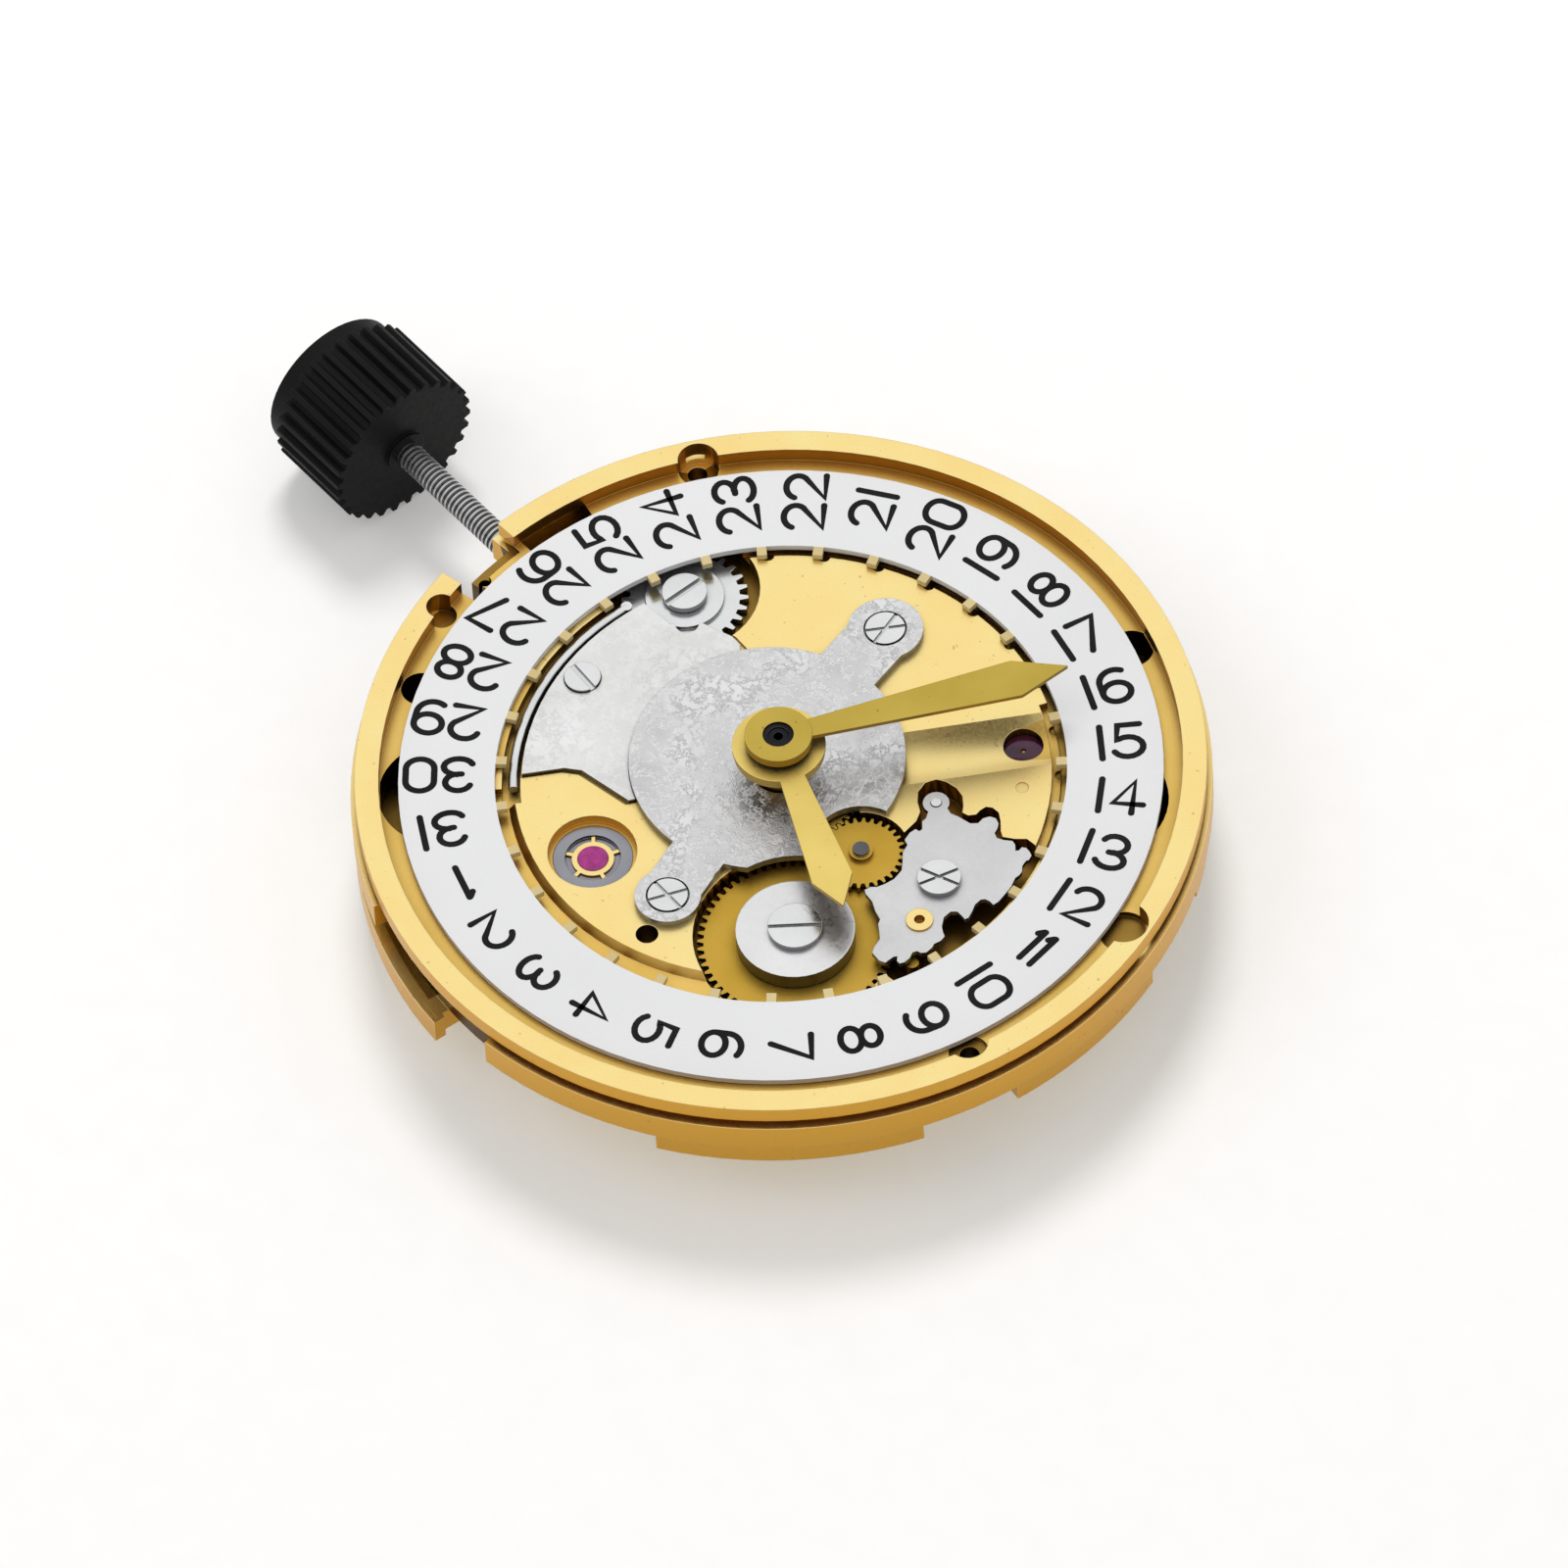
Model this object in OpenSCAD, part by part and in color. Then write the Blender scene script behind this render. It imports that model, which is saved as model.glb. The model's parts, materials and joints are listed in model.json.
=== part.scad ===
// Automatic watch movement with date, 11 1/2 lines, seen dial side up.
// Origin: axis of the hands at the dial seat. +X runs out along the winding stem, +Z up through the hands.

/* [Main plate] */
// Outer radius of the casing lip
rim_r = 12.8; // [12.6:0.05:13.2]
// Radial width of the casing lip
lip_w = 0.72; // [0.6:0.02:0.8]
// Height of the casing lip
lip_h = 0.55; // [0.5:0.05:0.6]
// Height of the groove under the lip
groove_h = 0.2; // [0.1:0.05:0.25]
// Depth of the groove under the lip
groove_d = 0.2; // [0.1:0.05:0.3]
// How far the casing shoulder stands out past the lip
shoulder_w = 0.16; // [0.1:0.02:0.4]
// Height of the casing shoulder
shoulder_h = 0.95; // [0.8:0.05:1.0]
// Depth of the plate's platform below the dial seat
platform_d = 0.5; // [0.45:0.01:0.55]
// Thickness of the plate from its platform to the train side
plate_t = 1.7; // [1.68:0.01:1.8]
// Radius of the holes for the dial feet
dial_foot_r = 0.3; // [0.25:0.01:0.35]

/* [Date ring] */
// Outer radius of the date ring
ring_out_r = 11.5; // [11.3:0.05:11.6]
// Inner radius of the date ring
ring_in_r = 8.6; // [8.5:0.05:8.8]
// Thickness of the date ring
ring_t = 0.2; // [0.15:0.01:0.25]
// Length of the ring's inner teeth
ring_tooth = 0.33; // [0.25:0.01:0.34]
// Width of the ring's inner teeth
ring_tooth_w = 0.3; // [0.25:0.01:0.4]

/* [Hands] */
// Length of the minute hand from the centre to its tip
minute_len = 9; // [8:0.1:10]
// Length of the hour hand from the centre to its tip
hour_len = 6.4; // [5.8:0.1:7]
// Thickness of the hands' blades
hand_t = 0.15; // [0.1:0.01:0.18]
// Radius of the minute hand's hub
minute_hub_r = 1.02; // [0.9:0.01:1.1]
// Radius of the hour hand's hub
hour_hub_r = 1.41; // [1.3:0.01:1.5]
// Height of the minute hand's top above the dial seat
minute_top = 1.59; // [1.55:0.01:1.7]
// Height of the hour hand's top above the dial seat
hour_top = 1.1; // [1.05:0.01:1.12]

/* [Stem and crown] */
// Radius of the winding stem
stem_r = 0.43; // [0.35:0.01:0.45]
// Depth of the stem's axis below the dial seat
stem_d = 2.05; // [2:0.01:2.1]
// Radius of the crown over its ridges
crown_r = 2.6; // [2:0.05:2.6]
// Distance of the crown's inner face from the centre
crown_x = 18.1; // [16:0.1:20]
// Length of the crown
crown_len = 3.7; // [3:0.1:5]
// Number of ridges round the crown
crown_ridges = 30; // [20:1:40]
// Travel of the stem from winding to setting the hands
pull_travel = 0.9; // [0.6:0.05:1]

/* [Barrel and train] */
// Distance of the barrel from the centre
barrel_dist = 6.9; // [6.85:0.01:7]
// Module of the barrel's teeth
barrel_m = 0.12; // [0.118:0.001:0.121]
// Module of the great wheel's teeth
great_m = 0.09; // [0.088:0.001:0.091]
// Module of the third wheel's teeth
third_m = 0.085; // [0.083:0.001:0.086]
// Module of the seconds wheel's teeth
seconds_m = 0.064; // [0.062:0.001:0.065]
// Thickness of the train wheels
train_t = 0.1; // [0.08:0.01:0.11]
// Radius of the balance wheel
balance_r = 4.4; // [4.2:0.05:4.4]
// Width of the balance rim
balance_rim_w = 0.42; // [0.3:0.02:0.5]

/* [Automatic winding] */
// Outer radius of the rotor's weight
rotor_r = 12.2; // [11.5:0.1:12.4]
// Radial width of the rotor's weight
rotor_weight_w = 2.5; // [2:0.1:3]
// Angle that the rotor's weight covers
rotor_span = 172; // [150:1:176]
// Total height of the movement below the dial seat
total_d = 4.65; // [4.6:0.01:4.8]
// Module of the rotor's and reversing wheels' teeth
reverser_m = 0.08; // [0.078:0.001:0.081]

/* [Clearances] */
// Gap round a shaft or pivot that turns
run_gap = 0.02; // [0.015:0.005:0.03]
// Gap between fixed pieces that fit each other
fit_gap = 0.01; // [0.005:0.005:0.02]

/* [Hidden] */
$fn = 64;

gold = [0.93, 0.74, 0.32];
brass = [0.78, 0.64, 0.28];
steel = [0.74, 0.75, 0.77];
dark_steel = [0.36, 0.37, 0.4];
ruby = [0.72, 0.08, 0.4];

lip_in_r = rim_r - lip_w;
shoulder_r = rim_r + shoulder_w;
wall_r = rim_r - 0.5;
groove_z = -lip_h - groove_h;
shoulder_z = groove_z - shoulder_h;
platform_z = -platform_d;
floor_z = platform_z - plate_t;
step_gap = 0.1;
wheel_t = 0.2;
pivot_r = 0.06;

// Levels of the dial side, from the platform down
hour_wheel_top = platform_z - step_gap;
hour_wheel_bot = hour_wheel_top - wheel_t;
motion_top = hour_wheel_bot - step_gap;
motion_bot = motion_top - wheel_t;
recess_z = motion_bot - 0.05;
lever_top = recess_z - 0.05;
lever_bot = lever_top - wheel_t;
keyless_z = lever_bot - 0.05;
keeper_t = 0.25;
cover_t = 0.2;
date_wheel_top = platform_z - 0.35;
date_wheel_bot = date_wheel_top - 0.15;
ring_bot = platform_z + run_gap;
ring_top = ring_bot + ring_t;

// Levels of the train side, from the plate down
escape_top = floor_z - 0.15;
barrel_rim_top = floor_z - 0.05;
barrel_bot = floor_z - 0.3;
drive_top = barrel_bot - 0.06;
seconds_top = drive_top - train_t - 0.04;
great_top = seconds_top - train_t - 0.05;
third_top = great_top - train_t - 0.08;
train_bridge_top = third_top - train_t - 0.12;
train_bridge_bot = train_bridge_top - 0.25;
barrel_bridge_top = barrel_bot - 0.1;
barrel_bridge_bot = barrel_bridge_top - 0.35;
ratchet_top = barrel_bridge_bot - 0.03;
ratchet_bot = ratchet_top - 0.17;
balance_top = floor_z - 0.75;
balance_bot = balance_top - 0.25;
cock_top = floor_z - 1.22;
cock_bot = cock_top - 0.33;
auto_bridge_top = train_bridge_bot - 0.15;
auto_bridge_bot = auto_bridge_top - 0.3;
reverser_top = auto_bridge_bot - 0.03;
reverser_bot = reverser_top - 0.1;
rotor_top = reverser_bot - 0.04;
rotor_bot = rotor_top - 0.15;
barrel_top = floor_z + 0.8;

// A point at a distance and an angle from the centre
function polar(r, a) = [r * cos(a), r * sin(a)];
// The point at distance ra from a and rb from b, to the left of the way from a to b when side is 1
function apex(a, b, ra, rb, side) =
    let (d = norm(b - a), u = (b - a) / d, x = (ra * ra - rb * rb + d * d) / (2 * d))
    a + u * x + side * sqrt(ra * ra - x * x) * [-u[1], u[0]];
function bearing(a, b) = atan2(b[1] - a[1], b[0] - a[0]);
// Angle of a tooth of a wheel with z2 teeth that meshes with one of z1 teeth, seen along angle dir
function mesh_phase(z1, phase1, z2, dir) =
    let (f = (dir - phase1) * z1 / 360)
    dir + 180 + (f - floor(f) + 0.5) * 360 / z2;

// Motion work and date train
cannon_z = 12;
minute_z = 36;
minute_pinion_z = 15;
hour_z = 60;
setting_z = 28;
inter_setting_z = 12;
inter_date_z = 30;
date_pinion_z = 15;
date_drive_z = 60;
motion_m = 0.13;
hour_m = motion_m * (cannon_z + minute_z) / (minute_pinion_z + hour_z);
date_m = 0.096;
centre = [0, 0];
minute_pos = polar(motion_m * (cannon_z + minute_z) / 2, 20);
setting_pos = [7.4, -2.3];
inter_setting_pos = apex(minute_pos, setting_pos, motion_m * (minute_z + inter_setting_z) / 2,
    motion_m * (inter_setting_z + setting_z) / 2, 1);
inter_date_pos = polar(hour_m * (hour_z + inter_date_z) / 2, 180.3);
date_drive_pos = inter_date_pos + polar(date_m * (date_pinion_z + date_drive_z) / 2, 107.5);
jumper_screw_pos = [-6.2, -1.03];
eyelet_pos = [-6.96, 0.37];
ear_pin_pos = [-3.9, -2.82];
keeper_pos = [0.68, -0.03];
keeper_r = 4.17;
ear_pos = [[2.1, -5.82], [-1.35, 5.49]];
ear_r = [1.15, 1];
cover_screw_pos = [6.75, 2.19];
dial_ruby_pos = [-3.8, -6.3];
foot_pos = [[10.83, -5.61], [-11.665, 2.352]];

// Train
barrel_z = 80;
great_pinion_z = 10;
great_z = 60;
third_pinion_z = 8;
third_z = 64;
seconds_pinion_z = 8;
seconds_z = 84;
escape_pinion_z = 7;
escape_teeth = 20;
escape_r = 1.75;
drive_z = 60;
great_dist = 3.2;
third_dist = third_m * (third_z + seconds_pinion_z) / 2;
barrel_pos = polar(barrel_dist, -58);
great_pos = apex(centre, barrel_pos, great_dist, barrel_m * (barrel_z + great_pinion_z) / 2, -1);
third_pos = apex(centre, great_pos, third_dist, great_m * (great_z + third_pinion_z) / 2, -1);
escape_pos = polar(seconds_m * (seconds_z + escape_pinion_z) / 2, 124.4);
balance_pos = [1.55, 6.05];
pallet_angle = bearing(escape_pos, balance_pos);
pallet_span = 31.5;
pallet_pos = escape_pos + polar(escape_r / cos(pallet_span), pallet_angle);
impulse_r = 0.5;
cock_foot = [6.9, 8.5];

// Winding
ratchet_z = 70;
ratchet_m = 0.12;
crown_wheel_z = 34;
driver_z = 22;
reduction_pinion_z = 11;
reduction_z = 60;
reversing_pinion_z = 10;
rotor_z = 60;
reversing_z = 38;
crown_wheel_pos = [barrel_pos[0] + sqrt(pow(ratchet_m * (ratchet_z + crown_wheel_z) / 2, 2)
    - pow(barrel_pos[1], 2)), 0];
reduction_pos = dial_ruby_pos;
driver_pos = apex(barrel_pos, reduction_pos, ratchet_m * (ratchet_z + driver_z) / 2,
    ratchet_m * (driver_z + reduction_pinion_z) / 2, 1);
reverser_b_pos = reduction_pos + polar(reverser_m * (reduction_z + reversing_pinion_z) / 2, 60);
reverser_a_pos = apex(centre, reverser_b_pos, reverser_m * (rotor_z + reversing_z) / 2,
    reverser_m * reversing_z, 1);
rotor_angle = -36.3;
rotor_post_r = 0.8;
ball_r = 0.17;
race_r = rotor_post_r + ball_r + run_gap;
rotor_bore_r = race_r + ball_r + run_gap;
rotor_hub_r = rotor_bore_r + 0.5;

// Keyless work on the stem's axis
stem_z = -stem_d;
stem_in_x = 4.75;
stem_square = 0.44;
square_x = 5.35;
sliding_x = [6.4, 7.7];
winding_x = [7.76, 8.35];
pinion_r = 0.62;
sliding_z = 13;
winding_z = 17;
winding_pinion_r = stem_z - ratchet_bot - 0.03;
setting_pivot = [9.9, 2.6];
lever_groove = [9.3, 9.62];
lever_pin_r = 0.13;
yoke_pivot = [4.6, 3.5];
yoke_groove = [6.75, 7.05];
yoke_groove_r = 0.4;
yoke_pin = [6.9, 0.2];
yoke_pin_r = 0.11;

// Supports of the bridges, and the screws that go into them
barrel_posts = [[9.8, -4.1], [8.3, 3.3], [-0.9, -10.6]];
train_posts = [[-8.7, -1.2], [-5.4, 5.0], [-7.2, -6.6]];
auto_feet = [[8.6, -6.6], [-0.2, -8.9], [-8.6, -3.4]];
auto_foot_r = 0.55;
click_pivot = barrel_pos + polar(4.95, 30);
pallet_feet = [[-2.3, 5.35], [0.85, 3.3]];
post_r = 0.85;

module at(p) {
    translate([p[0], p[1], 0]) children();
}

module slab(z0, z1) {
    translate([0, 0, z0]) linear_extrude(z1 - z0) children();
}

module disc(r, z0, z1) {
    translate([0, 0, z0]) cylinder(r = r, h = z1 - z0);
}

// A straight strip with round ends
module bar(a, b, w) {
    translate(a) rotate(bearing(a, b)) translate([0, -w / 2]) square([norm(b - a), w]);
    translate(a) circle(w / 2 + 0.02);
    translate(b) circle(w / 2 + 0.02);
}

// A wedge of the plane from angle a0 to a1, up to 170 degrees
module wedge(r, a0, a1) {
    mid = (a0 + a1) / 2;
    reach = r / cos((a1 - a0) / 4) * 1.02;
    polygon([[0, 0], polar(reach, a0), polar(reach, (a0 + mid) / 2), polar(reach, mid),
        polar(reach, (a1 + mid) / 2), polar(reach, a1)]);
}

module ring_part(r_out, r_in, a0, a1) {
    intersection() {
        difference() {
            circle(r_out, $fn = 128);
            circle(r_in, $fn = 128);
        }
        wedge(r_out, a0, a1);
    }
}

// Toothed outline, with a tooth centred on angle phase
module gear_outline(z, m, phase) {
    pitch = 360 / z;
    root = m * (z / 2 - 1.15);
    tip = m * (z / 2 + 0.85);
    polygon([for (i = [0 : z - 1]) each [
        polar(root, phase + (i - 0.3) * pitch),
        polar(tip, phase + (i - 0.13) * pitch),
        polar(tip, phase + (i + 0.13) * pitch),
        polar(root, phase + (i + 0.3) * pitch)]]);
}

// Wheel with a toothed rim, arms and a hub
module wheel_outline(z, m, phase, rim_w, hub_r, arms, arm_w, bore_r) {
    rim_in = m * (z / 2 - 1.15) - rim_w;
    difference() {
        union() {
            difference() {
                gear_outline(z, m, phase);
                circle(rim_in);
            }
            circle(hub_r);
            for (i = [0 : arms - 1]) {
                rotate(i * 360 / arms) translate([0, -arm_w / 2]) square([rim_in + 0.02, arm_w]);
            }
        }
        if (bore_r > 0) {
            circle(bore_r);
        }
    }
}

// Arbor with a thin pivot at each end
module arbor(r, z_low, z_high, pivot_len) {
    disc(r, z_low + pivot_len, z_high - pivot_len);
    disc(pivot_r, z_low, z_high);
}

// Screw that points down into the part from its head's top, or up when dir is -1
module screw(head_r, head_t, shank_r, length, slot_w, slot_angle, dir) {
    mirror([0, 0, dir > 0 ? 0 : 1]) {
        difference() {
            disc(head_r, -head_t, 0);
            for (a = slot_angle) rotate(a) translate([-head_r - 1, -slot_w / 2, -head_t * 0.45]) {
                cube([2 * head_r + 2, slot_w, head_t]);
            }
        }
        disc(shank_r, -length, -head_t);
    }
}

// Spiral strip of even pitch from radius r0 to r1
module spiral(r0, r1, turns, w) {
    steps = ceil(turns * 24);
    inner = [for (i = [0 : steps]) polar(r0 + (r1 - r0) * i / steps - w / 2, 360 * turns * i / steps)];
    outer = [for (i = [steps : -1 : 0]) polar(r0 + (r1 - r0) * i / steps + w / 2, 360 * turns * i / steps)];
    polygon(concat(inner, outer));
}

// Recess under the keyless cover: its edge follows the cover with a small step
module cover_outline(gap) {
    difference() {
        intersection() {
            circle(7.8 + gap, $fn = 128);
            polygon([[7.9, -1.0 - gap], [6.6, -1.1 - gap], [5.98, -1.86 - gap], [4.99, -2.21 - gap],
                [4.36, -2.18 - gap], [2.0, -1.5], [1.2, 2.0], [2.26, 4.07 + gap], [4.06, 4.41 + gap],
                [4.48, 4.75 + gap], [5.6, 6.6 + gap], [9, 7], [9.5, -1]]);
        }
        if (gap == 0) {
            at(keeper_pos) circle(keeper_r + fit_gap, $fn = 128);
        }
    }
}

module keeper_outline() {
    difference() {
        union() {
            translate(keeper_pos) circle(keeper_r, $fn = 128);
            for (i = [0, 1]) {
                translate(ear_pos[i]) circle(ear_r[i]);
                bar(ear_pos[i] * 0.62 + keeper_pos * 0.38, ear_pos[i], ear_r[i] * 1.75);
            }
        }
        translate(inter_date_pos) circle(1.5);
        translate(date_drive_pos) circle(2.72, $fn = 96);
        translate([-2.1, 3.78]) circle(0.45);
    }
}

// Plate
module plate_body() {
    difference() {
        union() {
            disc(wall_r, floor_z, groove_z);
            disc(shoulder_r, shoulder_z, groove_z);
            disc(rim_r - groove_d, groove_z - 0.05, platform_z);
            difference() {
                disc(rim_r, -lip_h, 0);
                disc(lip_in_r, -lip_h - 1, 1);
            }
            // Lower tier seen below the shoulder
            for (a = [[123.4, 159.5], [173.4, 199.7], [-70, -20], [215, 250]]) {
                slab(shoulder_z - 0.75, shoulder_z + 0.05) ring_part(shoulder_r - 0.1, wall_r - 0.25, a[0], a[1]);
            }
            // Thin outer wall and its end face round the open pocket
            slab(floor_z - 0.9, floor_z) ring_part(shoulder_r - 0.02, shoulder_r - 0.4, 45, 86.7);
            slab(floor_z - 0.86, floor_z + 0.06) ring_part(shoulder_r - 0.2, wall_r - 1.5, 83, 86);
            slab(floor_z - 0.82, floor_z - 0.6) ring_part(shoulder_r - 0.1, wall_r - 1.45, 46, 85);
            slab(floor_z - 0.88, shoulder_z + 0.05) ring_part(shoulder_r - 0.04, wall_r - 1.4, 41, 58);
            // Block round the stem
            intersection() {
                translate([9.4, -1.4, stem_z - 0.85]) cube([4, 2.8, 0.9]);
                disc(wall_r, stem_z - 1, 0);
            }
            // Posts of the bridges
            for (p = barrel_posts) {
                at(p) disc(post_r, barrel_bridge_top, floor_z + 0.1);
            }
            for (p = train_posts) {
                at(p) disc(post_r, train_bridge_top, floor_z + 0.1);
            }
            for (p = pallet_feet) {
                at(p) disc(0.38, floor_z - 0.45, floor_z + 0.1);
            }
            at(cock_foot) disc(1.3, cock_top, floor_z + 0.1);
        }
        // Gap in the shoulder beside the pocket
        slab(floor_z + 0.001, groove_z) ring_part(shoulder_r + 1, wall_r, 70, 97.5);
    }
}

module dial_side_cuts() {
    // Groove of the yoke spring
    slab(platform_z - 0.3, 1) ring_part(8.4, 7.84, -8, 56);
    // Motion work and setting wheels
    at(centre) disc(2.75, recess_z, 1);
    at(minute_pos) disc(2.6, recess_z, 1);
    at(inter_setting_pos) disc(1.05, recess_z, 1);
    at(setting_pos) disc(2.3, recess_z, 1);
    // Seat of the keyless cover
    slab(platform_z - cover_t * 0.4, 1) intersection() {
        cover_outline(0.12);
        translate([-20, -20]) square(40);
    }
    // Date train
    at(inter_date_pos) disc(1.45, recess_z, 1);
    at(date_drive_pos) disc(3.08, recess_z, 1);
    // Recess of the date jumper with its round-cornered edge
    slab(recess_z - 0.1, 1) {
        polygon([[-4.11, -1.11], [-4.05, -1.54], [-3.98, -1.97], [-3.78, -2.3], [-3.44, -2.47],
            [-3.17, -2.72], [-3.05, -3.09], [-3.15, -3.43], [-3.45, -3.6], [-3.82, -3.68],
            [-4.16, -3.62], [-4.46, -3.41], [-4.64, -3.22], [-4.84, -3.28], [-4.97, -3.48],
            [-4.93, -3.67], [-4.94, -3.89], [-5.1, -4.02], [-5.36, -4.04], [-5.65, -3.87],
            [-5.93, -3.64], [-6.14, -3.54], [-6.43, -3.76], [-6.68, -4.04], [-7.01, -4.08],
            [-7.46, -3.97], [-7.72, -3.44], [-7.94, -2.89], [-8.12, -2.33], [-8.27, -1.76],
            [-8.37, -1.18], [-8.43, -0.59], [-8.45, 0], [-8.43, 0.59], [-8.37, 1.18], [-8.27, 1.76],
            [-8.12, 2.33], [-7.26, 2.46], [-6.48, 1.96], [-5.24, 1.16]]);
    }
    // Step of the platform's edge on the near side, down to a ledge below the ring's inner edge
    difference() {
        slab(platform_z - 0.25, 1) ring_part(ring_in_r + 0.15, 6.9, 52, 160);
        translate([0.39, 0.225, platform_z - 0.26]) cylinder(r1 = 7.828, r2 = 7.46, h = 0.46, $fn = 128);
    }
    slab(platform_z - 0.25, 1) ring_part(ring_in_r + 0.15, 8.14, -153, -112);
    // Groove below the ring's inner edge on the far side, with a round notch at each tooth
    slab(platform_z - 0.35, 1) ring_part(ring_in_r + 0.14, 8.4, -150, -22);
    for (i = [-1 : 8]) {
        rotate(-116.82 - 1.3 + i * number_step) translate([8.4, 0, 0]) disc(0.18, platform_z - 0.33, 1);
    }
    // Levers under the cover
    slab(keyless_z, recess_z + 0.01) {
        bar(yoke_pivot, [6.7, 0.3], 1.8);
        bar(setting_pivot, [9.9, 0], 2.1);
    }
    slab(recess_z, 1) bar(setting_pivot, [9.9, 0.2], 2.1);
    // Well of the sliding and winding pinions, and the open way above the stem's groove
    translate([5.8, -0.72, floor_z - 1]) cube([2, 1.44, recess_z - floor_z + 1.01]);
    translate([7.72, -1.2, floor_z - 1]) cube([0.7, 2.4, motion_top - floor_z + 1]);
    translate([9.05, -0.46, stem_z]) cube([1.75, 0.92, 1.5]);
    // Shock setting, the hole beside it and the small circle
    at(balance_pos) disc(1.35, platform_z - 0.3, 1);
    at(balance_pos) disc(1.205 + fit_gap, platform_z - 0.6, 1);
    at(balance_pos) disc(0.95, floor_z - 1, 1);
    at([-1.92, 6.77]) disc(0.34, floor_z - 1, 1);
    at([-5.09, -5.18]) disc(0.2, platform_z - 0.05, 1);
    // Ruby of the reduction wheel, in its countersink and shallow channel
    at(dial_ruby_pos) disc(0.6 + fit_gap, platform_z - 0.75, 1);
    at(dial_ruby_pos) disc(0.3, floor_z - 1, 1);
    rotate(-121) translate([3.3, 0, platform_z - 0.22 + 2.3]) rotate([0, 90, 0]) {
        cylinder(r = 2.3, h = 5.12, $fn = 96);
    }
}

module rim_cuts() {
    // Way of the stem and the opening beside it
    translate([4.6, 0, stem_z]) rotate([0, 90, 0]) cylinder(r = stem_r + run_gap, h = 10);
    slab(-lip_h - 0.15, 1) ring_part(rim_r + 1, lip_in_r - 0.25, 2.5, 13.6);
    slab(-20, 1) ring_part(shoulder_r + 1, ring_out_r + 0.08, 10.8, 13.6);
    slab(-2.6, 1) ring_part(shoulder_r + 1.2, 12.2, 3.2, 11.3);
    slab(groove_z - 0.35, -lip_h + 0.1) ring_part(lip_in_r + 0.4, ring_out_r + 0.06, -10, 1.2);
    translate([11.65, 2.03, -2.4]) cylinder(r = 0.2, h = 3);
    at(polar(12.1, 18.5)) disc(0.45, -0.8, 1);
    // Dial foot pockets with their holes
    at(polar(12.05, -27.5)) disc(0.62, -0.95, 1);
    at(polar(11.85, 168.6)) disc(0.6, -0.6, 1);
    for (p = foot_pos) {
        at(p) disc(dial_foot_r, -20, 1);
    }
    at(polar(11.95, -160.5)) disc(0.75, -0.7, 1);
    // Dark windows through the ledge between lip and ring
    for (w = [[11.47, 31.9, 0.6], [10.19, 52.2, 1.93], [11.49, -106.4, 0.68], [9.53, -136.5, 2.17]]) {
        slab(platform_z - 1.2, 1) intersection() {
            translate(polar(w[0], w[1])) circle(w[2], $fn = 96);
            difference() {
                circle(lip_in_r - 0.02, $fn = 128);
                circle(ring_out_r - 0.04, $fn = 128);
            }
        }
    }
}

module train_side_cuts() {
    at(barrel_pos) disc(4.62, floor_z - 1, barrel_top + 0.06);
    // Bores of the arbors
    at(centre) disc(0.46 + run_gap, floor_z - 1, 1);
    for (p = [great_pos, third_pos, escape_pos, pallet_pos]) {
        at(p) disc(0.4 + fit_gap, floor_z - 1, floor_z + 0.25);
        at(p) disc(pivot_r + run_gap, floor_z - 1, floor_z + 0.35);
    }
    at(barrel_pos) disc(0.35 + run_gap, floor_z, barrel_top + 0.3);
    // Studs of the dial side
    at(minute_pos) disc(0.25 + fit_gap, recess_z - 0.4, recess_z);
    at(setting_pos) disc(0.3 + fit_gap, recess_z - 0.16, recess_z);
    at(inter_date_pos) disc(0.25 + fit_gap, recess_z - 0.4, recess_z);
    at(date_drive_pos) disc(0.35 + fit_gap, recess_z - 0.5, recess_z);
    at(jumper_screw_pos) disc(0.3 + fit_gap, recess_z - 0.6, recess_z);
    at(setting_pivot) disc(0.2 + fit_gap, keyless_z - 0.3, keyless_z);
    at(yoke_pivot) disc(0.2 + fit_gap, keyless_z - 0.3, keyless_z);
    for (p = ear_pos) {
        at(p) disc(0.3 + fit_gap, platform_z - 0.75, platform_z + 1);
    }
    at(cover_screw_pos) disc(0.25 + fit_gap, platform_z - 0.75, platform_z + 1);
    // Screws of the bridges
    for (p = barrel_posts) {
        at(p) disc(0.3 + fit_gap, floor_z - 2, floor_z + 0.6);
    }
    for (p = train_posts) {
        at(p) disc(0.3 + fit_gap, floor_z - 2, floor_z + 0.6);
    }
    for (p = pallet_feet) {
        at(p) disc(0.18 + fit_gap, floor_z - 2, floor_z + 0.3);
    }
    at(cock_foot) disc(0.35 + fit_gap, floor_z - 2, floor_z + 0.6);
}

module main_plate() {
    color(gold) difference() {
        plate_body($fn = 128);
        dial_side_cuts();
        rim_cuts();
        train_side_cuts();
    }
}

// Dial side
number_step = 360 / 31;
tooth_start = -124.85 + 8 - 15 * number_step;

module date_ring() {
    color([0.93, 0.94, 0.95]) {
        slab(ring_bot, ring_top) difference() {
            circle(ring_out_r, $fn = 128);
            circle(ring_in_r, $fn = 128);
        }
        for (i = [0 : 30]) {
            rotate(tooth_start + i * number_step) translate([ring_in_r - ring_tooth, -ring_tooth_w / 2, ring_bot]) {
                cube([ring_tooth + 0.1, ring_tooth_w, ring_t]);
            }
        }
    }
}

module date_keeper_plate() {
    color(steel) difference() {
        slab(platform_z, platform_z + keeper_t) keeper_outline();
        at(centre) disc(0.75 + 0.08, platform_z - 1, 1);
        for (p = ear_pos) {
            at(p) disc(0.6 + 0.06, platform_z + keeper_t - 0.12, 1);
            at(p) disc(0.3 + fit_gap, platform_z - 1, 1);
        }
    }
}

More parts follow.
